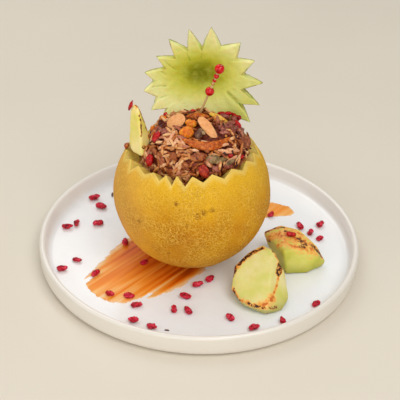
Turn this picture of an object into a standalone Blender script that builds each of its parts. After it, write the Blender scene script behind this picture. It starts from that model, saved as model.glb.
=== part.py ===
"""Stuffed melon on its plate: a small round melon with a zigzag rim, filled with
rice, dried fruit and nuts, with its scooped lid standing in the filling, three
grilled melon wedges, a bead pick and scattered barberries.

Run with: blender --background --python part.py
Units are metres, +Z is up, the origin is the middle of the plate's foot.
"""

import math
import random

import bmesh
import bpy
from mathutils import Matrix, Vector, noise

MM = 0.001
GAP = 0.3 * MM
OBJECT_NAME = "stuffed_melon"
SEED = 11

# Plate
PLATE_RADIUS = 140 * MM
PLATE_HEIGHT = 19.5 * MM
PLATE_FLOOR = 4.5 * MM
PLATE_WALL = 5 * MM
FOOT_OUTER = 132 * MM
FOOT_INNER = 126 * MM
FOOT_HEIGHT = 1.2 * MM
PLATE_STEPS = 56

# Cones that cut a zigzag edge: how far their edge and their top reach, in radii of the melon
CONE_REACH = 1.5
CONE_TOP = 2

# Melon
MELON_RADIUS = 66 * MM
MELON_CENTRE = Vector((-7.75, -9.45, 69.6)) * MM
FLESH = 14 * MM
RIM_HEIGHT = 40.4 * MM
RIM_RISE_X = 0.056
RIM_RISE_Y = -0.075
# The front teeth, cut by eye: angle of each tip, angle of the valley after it, valley depth.
FRONT_TEETH = (
    (-144.9, -133.6, 3.4 * MM),
    (-125.8, -117.8, 4.6 * MM),
    (-113.7, -106.2, 6.8 * MM),
    (-103.3, -95.2, 7.0 * MM),
    (-89.3, -79.8, 4.6 * MM),
    (-70.8, -60.5, 4.8 * MM),
    (-50.0, -39.5, 4.0 * MM),
    (-28.3, -19.0, 5.0 * MM),
)
BACK_TEETH = 13
BACK_TOOTH_DEPTH = 5.4 * MM

# Lid: a cap of such a melon, cut to petals, leaning back with its hollow forward
LID_CENTRE = Vector((-1.6, 25.0, 149.0)) * MM
LID_LEAN = math.radians(14)
LID_TURN = math.radians(-3)
LID_TIP_RADIUS = 49.4 * MM
LID_REACH = 51 * MM
# The scooped side, seen along the pole: a wide dish, a smaller cup in its middle, a thin edge.
LID_DISH = 14 * MM
LID_CUP = 5 * MM
LID_CUP_RADIUS = 18 * MM
LID_EDGE = 3 * MM
LID_ROWS = 8
LID_STEPS = 36
LID_SEAT_STEPS = 30
# The petals: angle of the tip in degrees clockwise from the top, reach of the tip from the
# middle and reach of the notch after it, in millimetres. The last four are planted in the heap.
LID_PETALS = (
    (-118, 48.7, 42), (-97, 50, 43), (-79, 50.2, 37), (-60.5, 46.6, 35), (-38.5, 48.4, 34),
    (-16.5, 49.5, 31.5), (5, 50.6, 35.5), (37, 48.4, 36), (59.5, 48, 35.5), (82.5, 49.8, 34.5),
    (104.5, 49.9, 37), (124, 49.7, 37), (145, 49, 37), (166, 49, 37), (187, 49, 38),
    (208, 49.4, 38), (226, 49, 39),
)

# Heap of filling above the rim: a rounded box form, wider than high
HEAP_CENTRE = Vector((-5.2, -9.4, 105.0)) * MM
HEAP_RADIUS = 42.5 * MM
HEAP_RISE = 28.5 * MM
HEAP_POWER = 2.3
HEAP_BUMP = 1.3 * MM
HEAP_FLATNESS = 1.6
THIN_TOPPING = 3 * MM
TOPPING_BUMP = 0.12
RIM_CLEARANCE = 0.9 * MM
NECK = 0.955
CORE_SEGMENTS = 32
CORE_RINGS = 20
GRAINS = 84
GRAIN_LENGTH = 8.6 * MM
GRAIN_WIDTH = 2.5 * MM
# Lumps of meat and fruit fused to the heap: angle round it, tilt up from its base, size in millimetres
LUMPS = (
    (-97, 24, (19, 13, 9)),
    (-130, 30, (17, 12, 9)),
    (-62, 22, (15, 9, 5)),
    (-48, 28, (14, 8, 5)),
    (150, 34, (18, 12, 9)),
    (35, 28, (17, 12, 9)),
    (-20, 36, (16, 12, 9)),
)

# Barberries lying on the plate: x, y in millimetres, turn in degrees
PLATE_BERRIES = (
    (-101, 67, 20), (-93, 53, -10), (-120, 18.5, 5), (-112.5, 24.5, 80), (-93, 26, 15),
    (-66, -2, 100), (-105, -30, 170), (-116, -43, 10), (-87, -48, 60), (-47, -30, 30),
    (-72, -74, 160), (-56, -76, -5), (-49, -87.5, 15), (-50, -106, 10), (-35, -112.5, -20),
    (0, -58.5, 20), (-10, -74, 165), (-18.5, -90.5, 95), (-7, -92, 120), (27, -98.5, 130),
    (46, -110, 30), (69, -99.5, 100), (98, -77, 35), (66, 50, 60), (92, 33, 110),
    (101, 24, 60), (111, 37, 50), (109, 15.5, 40), (10, -50, 50),
)
BERRY_SIZE = Vector((10.6, 7.4, 6.2)) * MM

# Pick: a bamboo stick with beads
PICK_TOP = Vector((12.3, 12.0, 175.5)) * MM
PICK_FOOT = Vector((-7.0, 12.0, 121.0)) * MM
STICK_RADIUS = 1.0 * MM
# Name, distance down the stick from its top, radius
BEADS = (
    ("bead_top", 3.5 * MM, 4.05 * MM),
    ("bead_small_a", 10.4 * MM, 2.2 * MM),
    ("bead_small_b", 14.6 * MM, 1.7 * MM),
    ("bead_small_c", 18.1 * MM, 1.4 * MM),
    ("bead_low", 25.2 * MM, 3.85 * MM),
)

# Melon wedges, as the corners of their cut faces, in millimetres
WEDGE_FRONT = (
    (53, -39, 37), (62.3, -46.6, 38), (40, -48, 35), (29.4, -58.6, 29), (27.2, -73, 15),
    (33, -83, 12.5), (43, -91, 12.5), (57.2, -95.2, 13), (72.1, -57.8, 23), (75.4, -77, 10),
    (32, -66, 5), (38, -82, 5), (56, -92, 5), (70, -86, 5), (72, -64, 5), (57, -47, 5), (42, -54, 5),
)
WEDGE_BACK = (
    (56, 2, 21), (71, 1.5, 29.5), (86.6, -5, 30), (101.9, -19, 23), (111, -24, 9),
    (71.1, -36, 28), (85.7, -33, 28), (102, -29.5, 19), (75.4, -38, 5), (93.6, -35.5, 5),
    (107, -24.5, 5), (63, 4, 5), (86, -1, 5), (101, -12, 5), (60, -12, 16),
)
WEDGE_STANDING = (
    (-56.4, -14, 152.6), (-52.3, -18, 151.5), (-59.3, -14, 146), (-60.4, -14, 120),
    (-59.0, -15, 110.6), (-55.8, -20.5, 109.4), (-50.2, -23.5, 135), (-48.4, -26.8, 109.9),
    (-41.3, -16, 110.6), (-43.1, -14, 121.9), (-47.1, -13.5, 135.6), (-52.8, -12.5, 149.5),
    (-50.5, -3, 111), (-55, -7, 140), (-45, -5, 113),
)
WEDGE_ROUND = 1.6 * MM

# What lies on the heap: centre, length, width and thickness in millimetres, the long side's
# turn in degrees, how much one end narrows, how far the ends bend down and how far they curve
# to the back, and how many degrees the piece leans to the front.
TOPPINGS = {
    "almond_round": ((-22.4, -7.6, 133.6), (17, 15.5, 1.9), 20, 0.05, 0.0, 0.0, 28),
    "almond_long": ((3.6, -19.4, 135.2), (25, 11.5, 2.2), -52, 0.35, 0.6, 0.0, 18),
    "fruit_yellow": ((13.2, 5.6, 131.2), (20, 8, 3.2), -14, 0.2, 1.5, 0.0, 25),
    "apricot_brown": ((-5.0, 2.6, 134.0), (20, 8.5, 4.6), 4, 0.1, 1.2, 0.0, 10),
    "apricot_long": ((5.0, -38.6, 128.6), (41, 9.5, 5.2), 12, 0.1, 3.0, 11.0, -10),
    "raisin_front": ((-13.4, -26.4, 134.2), (12, 11, 9.5), 10, 0.0, 0.0, 0.0, 0),
    "raisin_back": ((-9.6, -13.8, 135.0), (9.5, 8.0, 7.0), 45, 0.1, 0.0, 0.0, 0),
    "raisin_dark": ((-3.4, -26.8, 133.4), (9.5, 6.5, 5.5), 70, 0.0, 0.0, 0.0, 0),
    "apricot_left": ((-39.4, -1.5, 121.6), (16, 10, 4.2), -35, 0.4, 0.8, 0.0, 10),
    "walnut_right": ((34.6, -12.3, 119.4), (15, 12, 10), 60, 0.1, 0.0, 0.0, 0),
    "tomato_front": ((1.6, -52.2, 114.6), (12, 10, 6.0), -60, 0.3, 0.0, 0.0, 0),
    "barberry_left": ((-37.6, -21.5, 126.2), (10.5, 7.0, 6.4), 60, 0.1, 0.0, 0.0, 0),
    "barberry_right": ((27.5, 4.0, 126.2), (11, 6.8, 6.2), -50, 0.1, 0.0, 0.0, 0),
    "barberry_rim": ((-42.0, -35.0, 112.6), (10, 7.0, 6.4), 80, 0.1, 0.0, 0.0, 0),
}
TOPPING_LOOKS = {
    "almond": "almond", "raisin_dark": "dark_fruit", "walnut": "walnut", "barberry": "barberry",
}
TIP_BERRY = (Vector((-58.5, -14.2, 152.3)) * MM, Vector((10.5, 3.6, 3.4)) * MM)
WEDGE_BERRY = (Vector((79.0, -15.5, 32.9)) * MM, Vector((10, 6.4, 5.6)) * MM)

COLOURS = {
    "porcelain": ((0.86, 0.85, 0.82), 0.22),
    "melon_rind": ((0.70, 0.47, 0.09), 0.55),
    "melon_flesh": ((0.70, 0.74, 0.28), 0.42),
    "grilled_flesh": ((0.76, 0.74, 0.36), 0.42),
    "rice_filling": ((0.30, 0.15, 0.09), 0.6),
    "almond": ((0.82, 0.56, 0.33), 0.55),
    "dried_fruit": ((0.62, 0.25, 0.05), 0.45),
    "dark_fruit": ((0.17, 0.09, 0.07), 0.45),
    "barberry": ((0.45, 0.02, 0.04), 0.4),
    "walnut": ((0.42, 0.19, 0.11), 0.6),
    "bamboo": ((0.70, 0.50, 0.25), 0.55),
    "red_bead": ((0.60, 0.02, 0.03), 0.12),
}


def clear_scene():
    for obj in list(bpy.data.objects):
        bpy.data.objects.remove(obj, do_unlink=True)


def make_collection(name):
    collection = bpy.data.collections.new(name)
    bpy.context.scene.collection.children.link(collection)
    return collection


def make_material(name):
    colour, roughness = COLOURS[name]
    material = bpy.data.materials.new(name)
    material.use_nodes = True
    shader = material.node_tree.nodes["Principled BSDF"]
    shader.inputs["Base Color"].default_value = (*colour, 1)
    shader.inputs["Roughness"].default_value = roughness
    shader.inputs["Metallic"].default_value = 0
    material.diffuse_color = (*colour, 1)
    return material


def make_object(name, bm, collection, material=None):
    """Turns a bmesh into an object, shaded smooth except across sharp edges."""
    bmesh.ops.recalc_face_normals(bm, faces=bm.faces)
    mesh = bpy.data.meshes.new(name)
    bm.to_mesh(mesh)
    bm.free()
    mesh.shade_smooth()
    mesh.set_sharp_from_angle(angle=math.radians(40))
    obj = bpy.data.objects.new(name, mesh)
    if material:
        mesh.materials.append(material)
    collection.objects.link(obj)
    return obj


def hide_cutter(obj):
    obj.hide_render = True
    obj.display_type = "WIRE"
    return obj


def cut(obj, cutter, operation="DIFFERENCE", solver="EXACT"):
    """Adds a Boolean with one object, or with every object of a collection."""
    boolean = obj.modifiers.new(cutter.name, "BOOLEAN")
    boolean.operation = operation
    boolean.solver = solver
    if isinstance(cutter, bpy.types.Collection):
        boolean.operand_type = "COLLECTION"
        boolean.collection = cutter
    else:
        boolean.object = cutter
    return boolean


def bake_modifiers(obj):
    """Replaces the object's mesh by what its modifiers make of it."""
    graph = bpy.context.evaluated_depsgraph_get()
    mesh = bpy.data.meshes.new_from_object(obj.evaluated_get(graph))
    obj.modifiers.clear()
    obj.data = mesh


def keep_largest_body(obj):
    """Drops loose scraps and the walls of sealed hollows: all but the biggest connected body."""
    bm = bmesh.new()
    bm.from_mesh(obj.data)
    bmesh.ops.remove_doubles(bm, verts=bm.verts, dist=0.002 * MM)
    left = set(bm.verts)
    bodies = []
    while left:
        body = set()
        stack = [left.pop()]
        while stack:
            vert = stack.pop()
            body.add(vert)
            near = {edge.other_vert(vert) for edge in vert.link_edges} & left
            left -= near
            stack.extend(near)
        bodies.append(body)
    biggest = max(bodies, key=len)
    scraps = [vert for body in bodies if body is not biggest for vert in body]
    bmesh.ops.delete(bm, geom=scraps, context="VERTS")
    bm.to_mesh(obj.data)
    bm.free()


def drop_collection(collection):
    for obj in list(collection.objects):
        bpy.data.objects.remove(obj, do_unlink=True)
    bpy.data.collections.remove(collection)


def ball(radius, segments, rings):
    bm = bmesh.new()
    bmesh.ops.create_uvsphere(bm, u_segments=segments, v_segments=rings, radius=radius)
    return bm


def turned(name, profile, steps, collection, material, closed=False):
    """A body turned round Z from (radius, height) points: an open run between two points
    on the axis, or a closed one that makes a ring."""
    bm = bmesh.new()
    verts = [bm.verts.new((radius, 0, height)) for radius, height in profile]
    for first, second in zip(verts, verts[1:] + verts[:1] if closed else verts[1:]):
        bm.edges.new((first, second))
    mesh = bpy.data.meshes.new(name)
    bm.to_mesh(mesh)
    bm.free()
    obj = bpy.data.objects.new(name, mesh)
    collection.objects.link(obj)
    if material:
        mesh.materials.append(material)
    screw = obj.modifiers.new("turn", "SCREW")
    screw.steps = screw.render_steps = steps
    screw.use_merge_vertices = True
    screw.merge_threshold = 0.1 * MM
    screw.use_smooth_shade = True
    return obj


def star_cone(ring, top):
    """A cone with its apex at the origin and a zigzag edge, closed by a fan to a top point."""
    bm = bmesh.new()
    bmesh.ops.create_cone(
        bm, cap_ends=True, cap_tris=True, segments=len(ring), radius1=1, radius2=0, depth=2
    )
    bmesh.ops.remove_doubles(bm, verts=bm.verts, dist=1e-5)
    edge = [vert for vert in bm.verts if vert.co.xy.length > 0.5]
    for vert in set(bm.verts) - set(edge):
        vert.co = (0, 0, 0) if vert.co.z > 0 else top
    edge.sort(key=lambda vert: math.atan2(vert.co.y, vert.co.x))
    for vert, place in zip(edge, sorted(ring, key=lambda p: math.atan2(p[1], p[0]))):
        vert.co = place
    return bm


def pebble(size, taper=0.0, bend=0.0, curve=0.0, segments=10, rings=6, bump=0.0, seed=0):
    """A rounded lump of a given length, width and thickness, with its long side on X."""
    bm = ball(1, segments, rings)
    bmesh.ops.rotate(bm, verts=bm.verts, matrix=Matrix.Rotation(math.pi / 2, 3, "Y"))
    for vert in bm.verts:
        x, y, z = vert.co
        narrow = 1 - taper * (x + 1) / 2
        swell = 1 + bump * noise.noise(vert.co * 2.1 + Vector((seed, 0, 0)))
        vert.co = (
            x * size[0] / 2,
            y * size[1] / 2 * narrow * swell + curve * x * x,
            z * size[2] / 2 * narrow * swell - bend * x * x,
        )
    return bm


def place(bm, centre, normal, turn):
    """Lays a lump with its thin side along a normal, its long side turned about it."""
    up = Vector(normal).normalized()
    side = Vector((1, 0, 0)) - up * up.x
    side.normalize()
    basis = Matrix((side, up.cross(side), up)).transposed()
    basis = basis @ Matrix.Rotation(math.radians(turn), 3, "Z")
    bmesh.ops.transform(bm, verts=bm.verts, matrix=Matrix.Translation(centre) @ basis.to_4x4())
    return bm


def rim_direction(angle, drop):
    """Where the rim lies, seen from the melon's centre, at an angle and a drop below the tips."""
    height = RIM_HEIGHT
    for _ in range(4):
        radius = math.sqrt(MELON_RADIUS**2 - height**2)
        x, y = radius * math.cos(angle), radius * math.sin(angle)
        height = RIM_HEIGHT + RIM_RISE_X * x + RIM_RISE_Y * y - drop
    return Vector((x, y, height)).normalized()


def rim_ring():
    """Directions of the tips and valleys of the zigzag cut, all round."""
    draw = random.Random(SEED)
    ring = []
    for tip, valley, depth in FRONT_TEETH:
        ring.append(rim_direction(math.radians(tip), 0))
        ring.append(rim_direction(math.radians(valley), depth))
    start = FRONT_TEETH[-1][1]
    span = FRONT_TEETH[0][0] + 360 - start
    step = span / (BACK_TEETH + 0.5)
    for index in range(BACK_TEETH):
        tip = start + step * (index + 0.5 + draw.uniform(-0.12, 0.12))
        valley = start + step * (index + 1 + draw.uniform(-0.12, 0.12))
        ring.append(rim_direction(math.radians(tip), 0))
        ring.append(rim_direction(math.radians(valley), BACK_TOOTH_DEPTH * draw.uniform(0.75, 1.2)))
    return ring


def make_shell(collection, cutters, material):
    """The hollowed melon: a ball less its hollow, the zigzag crown and a small flat to stand on."""
    shell = make_object("melon_shell", ball(MELON_RADIUS, 42, 24), collection, material)
    hollow = make_object("shell_hollow", ball(MELON_RADIUS - FLESH, 28, 16), cutters)
    ring = [direction * CONE_REACH * MELON_RADIUS for direction in rim_ring()]
    crown = make_object("shell_crown", star_cone(ring, Vector((0, 0, CONE_TOP * MELON_RADIUS))), cutters)
    flat = bmesh.new()
    bmesh.ops.create_cube(flat, size=2 * MELON_RADIUS)
    floor = PLATE_FLOOR + GAP - MELON_CENTRE.z
    bmesh.ops.translate(flat, verts=flat.verts, vec=(0, 0, floor - MELON_RADIUS))
    flat_cutter = make_object("shell_flat", flat, cutters)
    for cutter in (hollow, crown, flat_cutter):
        cutter.location = MELON_CENTRE
        cut(shell, hide_cutter(cutter))
    shell.location = MELON_CENTRE
    return shell


def lid_matrix():
    """Turns the lid's pole back and down, and puts the middle of its ball in place."""
    facing = Vector(
        (
            math.sin(LID_TURN) * math.cos(LID_LEAN),
            -math.cos(LID_TURN) * math.cos(LID_LEAN),
            math.sin(LID_LEAN),
        )
    )
    right = Vector((math.cos(LID_TURN), math.sin(LID_TURN), 0))
    up = right.cross(facing)
    if up.z < 0:
        up.negate()
    depth = math.sqrt(MELON_RADIUS**2 - LID_TIP_RADIUS**2)
    basis = Matrix((up, right, -facing)).transposed().to_4x4()
    return Matrix.Translation(LID_CENTRE + facing * depth) @ basis


def lid_direction(degrees, reach):
    angle = math.radians(degrees)
    height = math.sqrt(MELON_RADIUS**2 - reach**2)
    return Vector((reach * math.cos(angle), reach * math.sin(angle), height)).normalized()


def lid_ring():
    """Directions of the petals' tips and of the notches between them."""
    ring = []
    following = LID_PETALS[1:] + ((LID_PETALS[0][0] + 360, 0, 0),)
    for (tip, reach, notch), (next_tip, _, _) in zip(LID_PETALS, following):
        ring.append(lid_direction(tip, reach * MM))
        ring.append(lid_direction((tip + next_tip) / 2, notch * MM))
    return ring


def lid_profile(grow):
    """The lid's wall turned about its pole: the ball's arc outside, a dish with a cup inside."""
    outer, reach = MELON_RADIUS + grow, LID_REACH + 2 * grow
    tip_height = math.sqrt(MELON_RADIUS**2 - LID_TIP_RADIUS**2)
    widest = math.asin(reach / outer)
    angles = [widest * row / LID_ROWS for row in range(LID_ROWS + 1)]
    outside = [(outer * math.sin(angle), outer * math.cos(angle)) for angle in angles]
    inside = []
    for row in range(LID_ROWS, -1, -1):
        radius = reach * row / LID_ROWS
        dish = LID_DISH * (1 - (radius / LID_REACH) ** 2)
        cup = LID_CUP * math.exp(-((radius / LID_CUP_RADIUS) ** 2))
        inside.append((radius, tip_height + dish + cup - LID_EDGE - grow))
    return outside + inside


def make_lid(collection, cutters, material):
    lid = turned("lid", lid_profile(0), LID_STEPS, collection, material)
    ring = [direction * CONE_REACH * MELON_RADIUS for direction in lid_ring()]
    star = make_object("lid_star", star_cone(ring, Vector((0, 0, CONE_TOP * MELON_RADIUS))), cutters)
    star.matrix_world = lid_matrix()
    cut(lid, hide_cutter(star), "INTERSECT")
    lid.matrix_world = lid_matrix()
    return lid


def make_lid_seat(collection):
    """The slot that the planted part of the lid takes up in the filling."""
    seat = turned("lid_seat", lid_profile(2 * GAP), LID_SEAT_STEPS, collection, None)
    bpy.context.view_layer.update()
    bake_modifiers(seat)
    seat.matrix_world = lid_matrix()
    return seat


def heap_surface(angle, tilt):
    """A point on the heap at an angle round it and a tilt up from its base, and the way out there."""
    way = Vector(
        (math.cos(angle) * math.cos(tilt), math.sin(angle) * math.cos(tilt), math.sin(tilt))
    )
    flat = math.hypot(way.x, way.y) / HEAP_RADIUS
    rise = max(way.z, 0) / HEAP_RISE
    reach = (flat**HEAP_POWER + rise**HEAP_POWER) ** (-1 / HEAP_POWER)
    point = way * reach
    across = math.hypot(point.x, point.y)
    slope = across ** (HEAP_POWER - 1) / HEAP_RADIUS**HEAP_POWER
    lift = max(point.z, 0) ** (HEAP_POWER - 1) / HEAP_RISE**HEAP_POWER
    normal = Vector((math.cos(angle) * slope, math.sin(angle) * slope, lift)).normalized()
    return HEAP_CENTRE + point, normal


def rim_face_height(point):
    """How high the cut rim's faces reach under a point, taken along the tips of the teeth."""
    flat = point - MELON_CENTRE
    across = math.hypot(flat.x, flat.y)
    way = rim_direction(math.atan2(flat.y, flat.x), 0)
    return MELON_CENTRE.z + across * way.z / math.hypot(way.x, way.y)


def rest_on_rim(bm):
    """Lifts whatever reaches below the rim's cut faces to just above them."""
    for vert in bm.verts:
        vert.co.z = max(vert.co.z, rim_face_height(vert.co) + 1.3 * RIM_CLEARANCE)
    return bm


def make_core(collection, material):
    """The body of the filling: it fills the hollow, narrows at the rim and rises to the heap."""
    bm = ball(1, CORE_SEGMENTS, CORE_RINGS)
    hollow = MELON_RADIUS - FLESH - RIM_CLEARANCE
    for vert in bm.verts:
        tilt = math.asin(max(-1, min(1, vert.co.z)))
        angle = math.atan2(vert.co.y, vert.co.x)
        if tilt < 0.01:
            # The ball's lower half is stretched over the bowl, up to the inner edge of the rim.
            edge = rim_direction(angle, 0)
            top = math.atan2(edge.z, math.hypot(edge.x, edge.y))
            bowl = -math.pi / 2 + (tilt + math.pi / 2) / (math.pi / 2) * (math.pi / 2 + top)
            flat = math.cos(bowl)
            way = Vector((flat * math.cos(angle), flat * math.sin(angle), math.sin(bowl)))
            neck = NECK if tilt > -0.01 else 1
            vert.co = MELON_CENTRE + way * hollow * neck
            continue
        point, normal = heap_surface(angle, tilt)
        bump = noise.noise(point / (9 * MM)) + 0.5 * noise.noise(point / (4.5 * MM))
        point += normal * HEAP_BUMP * bump * min(1, tilt * 3)
        point.z = max(point.z, rim_face_height(point) + RIM_CLEARANCE)
        vert.co = point
    return make_object("filling", bm, collection, material)


def toppings_near(point, distance):
    """Whether a point lies close to a topping, the standing wedge, the pick or the lid."""
    for centre, size, *_ in TOPPINGS.values():
        if (Vector(centre) * MM - point).length < size[0] * MM * 0.42 + distance:
            return True
    if point.x < -37 * MM and abs(point.y + 15 * MM) < 14 * MM:
        return True
    if (point - PICK_FOOT).xy.length < 5 * MM and point.z > 130 * MM:
        return True
    return point.y > 12 * MM


def fused_pieces(collection):
    """Rice grains, seeds and meat that stick out of the heap, spread evenly over it."""
    draw = random.Random(SEED + 2)
    turn = math.pi * (3 - math.sqrt(5))
    for index in range(GRAINS):
        tilt = math.asin(0.10 + 0.86 * (index + 0.5) / GRAINS)
        point, normal = heap_surface(index * turn, tilt)
        length = GRAIN_LENGTH * draw.uniform(0.8, 1.2)
        width = GRAIN_WIDTH * draw.uniform(0.85, 1.5)
        lean = Vector([draw.uniform(-0.5, 0.5) for _ in range(3)])
        spin = draw.uniform(0, 180)
        if toppings_near(point, 2 * MM) or point.z < rim_face_height(point) + 4 * MM:
            continue
        bm = pebble((length, width * 1.2, width), segments=5, rings=4)
        place(bm, point + normal * 0.25 * width, normal + lean, spin)
        make_object(f"grain_{index}", rest_on_rim(bm), collection)
    for index, (angle, tilt, size) in enumerate(LUMPS):
        point, normal = heap_surface(math.radians(angle), math.radians(tilt))
        bm = pebble(Vector(size) * MM, segments=8, rings=5, bump=0.5, seed=index)
        place(bm, point - normal * 1.5 * MM, normal, 15 * index)
        make_object(f"meat_{index}", rest_on_rim(bm), collection)


def make_wedge(name, corners, collection, material=None, grow=0.0):
    """A chunk of melon: the hull of its corners, with its edges rounded."""
    bm = bmesh.new()
    points = [Vector(corner) * MM for corner in corners]
    middle = sum(points, Vector()) / len(points)
    for point in points:
        bm.verts.new(point + (point - middle).normalized() * grow * 2)
    hull = bmesh.ops.convex_hull(bm, input=bm.verts)
    bmesh.ops.delete(bm, geom=list(set(hull["geom_interior"])), context="VERTS")
    bmesh.ops.dissolve_limit(bm, angle_limit=math.radians(4), verts=bm.verts, edges=bm.edges)
    wedge = make_object(name, bm, collection, material)
    if grow == 0:
        bevel = wedge.modifiers.new("rounding", "BEVEL")
        bevel.width = WEDGE_ROUND
        bevel.segments = 2
        bevel.limit_method = "ANGLE"
        bevel.angle_limit = math.radians(18)
    return wedge


def make_topping(name, collection, material=None, grow=0.0):
    centre, size, turn, taper, bend, curve, lean = TOPPINGS[name]
    centre = Vector(centre) * MM
    size = Vector(size) * MM + Vector((2, 2, 2)) * grow
    bump = 0.0 if size.z < THIN_TOPPING else TOPPING_BUMP
    bm = pebble(size, taper, bend * MM, curve * MM, 12, 5, bump, len(name))
    away = centre - HEAP_CENTRE
    normal = Vector((away.x, away.y, away.z * HEAP_FLATNESS)).normalized()
    normal = Matrix.Rotation(math.radians(lean), 3, "X") @ normal
    place(bm, centre, normal, turn)
    return make_object(name + ("_seat" if grow else ""), bm, collection, material)


def topping_look(name):
    """The material of a topping, told by how its name starts."""
    for start, material in TOPPING_LOOKS.items():
        if name.startswith(start):
            return material
    return "dried_fruit"


def make_berry(name, centre, size, turn, tilt, collection, material):
    bm = pebble(size, 0.25, segments=7, rings=4, bump=0.35, seed=turn * 0.1)
    place(bm, centre, Vector((math.sin(tilt), 0, math.cos(tilt))), turn)
    return make_object(name, bm, collection, material)


def make_plate(collection, material):
    top, floor, wall = PLATE_HEIGHT, PLATE_FLOOR, PLATE_WALL
    inner = PLATE_RADIUS - wall
    profile = (
        (0, floor),
        (inner - 7 * MM, floor),
        (inner - 2.6 * MM, floor + 0.9 * MM),
        (inner - 0.6 * MM, floor + 3.2 * MM),
        (inner, top - 2.2 * MM),
        (inner + 0.9 * MM, top - 0.6 * MM),
        (inner + wall / 2, top),
        (PLATE_RADIUS - 0.8 * MM, top - 0.6 * MM),
        (PLATE_RADIUS, top - 2.4 * MM),
        (PLATE_RADIUS, 6 * MM),
        (PLATE_RADIUS - 1.2 * MM, 2.6 * MM),
        (PLATE_RADIUS - 4.5 * MM, 0.7 * MM),
        (FOOT_OUTER, 0),
        (FOOT_INNER, 0),
        (FOOT_INNER - 1.5 * MM, FOOT_HEIGHT),
        (0, FOOT_HEIGHT),
    )
    return turned("plate", profile, PLATE_STEPS, collection, material)


def stick_matrix(distance):
    """The frame of a piece threaded on the pick, at a distance down from its top."""
    way = (PICK_FOOT - PICK_TOP).normalized()
    turn = way.to_track_quat("Z", "Y").to_matrix().to_4x4()
    return Matrix.Translation(PICK_TOP + way * distance) @ turn


def make_pick(collection, stick_material, bead_material):
    length = (PICK_FOOT - PICK_TOP).length
    point = 7 * MM
    profile = ((0, length), (STICK_RADIUS, length - point), (STICK_RADIUS, 0), (0, 0))
    stick = turned("pick_stick", profile, 10, collection, stick_material)
    stick.matrix_world = stick_matrix(0)
    bore = STICK_RADIUS + GAP
    for name, distance, radius in BEADS:
        # The bead's round side, from its upper hole edge to its lower one, closed along the bore.
        edge = math.acos(min(0.95, bore / radius))
        steps = 6 if radius > 3 * MM else 4
        angles = [edge - 2 * edge * step / steps for step in range(steps + 1)]
        profile = [(radius * math.cos(a), radius * math.sin(a)) for a in angles]
        bead = turned(name, profile, 12, collection, bead_material, closed=True)
        bead.matrix_world = stick_matrix(distance)


def make_filling(collection, material):
    filling = make_core(collection, material)
    pieces = make_collection("fused_pieces")
    fused_pieces(pieces)
    cut(filling, pieces, "UNION", "MANIFOLD")
    bake_modifiers(filling)
    drop_collection(pieces)
    keep_largest_body(filling)

    seats = make_collection("filling_seats")
    make_lid_seat(seats)
    make_wedge("wedge_seat", WEDGE_STANDING, seats, grow=GAP)
    for name in TOPPINGS:
        make_topping(name, seats, grow=GAP)
    length = (PICK_FOOT - PICK_TOP).length + GAP
    bore = bmesh.new()
    radius = STICK_RADIUS + GAP
    bmesh.ops.create_cone(
        bore, cap_ends=True, segments=10, radius1=radius, radius2=radius, depth=length
    )
    make_object("stick_seat", bore, seats).matrix_world = stick_matrix(length / 2)
    bpy.context.view_layer.update()
    cut(filling, seats, "DIFFERENCE", "MANIFOLD")
    bake_modifiers(filling)
    drop_collection(seats)
    keep_largest_body(filling)


def main():
    clear_scene()
    parts = make_collection(OBJECT_NAME)
    cutters = make_collection("cutters")
    look = {name: make_material(name) for name in COLOURS}

    make_plate(parts, look["porcelain"])
    make_filling(parts, look["rice_filling"])
    make_shell(parts, cutters, look["melon_rind"])
    make_lid(parts, cutters, look["melon_flesh"])
    make_wedge("wedge_front", WEDGE_FRONT, parts, look["grilled_flesh"])
    make_wedge("wedge_back", WEDGE_BACK, parts, look["grilled_flesh"])
    make_wedge("wedge_standing", WEDGE_STANDING, parts, look["melon_flesh"])
    make_pick(parts, look["bamboo"], look["red_bead"])

    for name in TOPPINGS:
        make_topping(name, parts, look[topping_look(name)])

    for index, (x, y, turn) in enumerate(PLATE_BERRIES, 1):
        draw = random.Random(SEED + 10 + index)
        size = BERRY_SIZE * draw.uniform(0.82, 1.1)
        centre = Vector((x * MM, y * MM, PLATE_FLOOR + GAP + size.z * 0.56))
        make_berry(f"barberry_{index:02d}", centre, size, turn, 0, parts, look["barberry"])
    make_berry("barberry_tip", *TIP_BERRY, 0, math.radians(-68.5), parts, look["barberry"])
    make_berry("barberry_wedge", *WEDGE_BERRY, 5, 0.2, parts, look["barberry"])


main()
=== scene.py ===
# %% [markdown]
# # A stuffed melon on its plate
# The dish is a small netted melon, hollowed, cut to a zigzag rim and heaped with rice, dried
# fruit and nuts. Its own lid, cut to petals, stands in the filling. This lesson dresses the plain
# solids of the dish: each cell takes one piece, says how the real one looks, and builds that.

# %% Load the solids
import math

import bmesh
import bpy
import numpy as np
from mathutils import Matrix, Vector, noise
from mathutils.bvhtree import BVHTree


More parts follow.
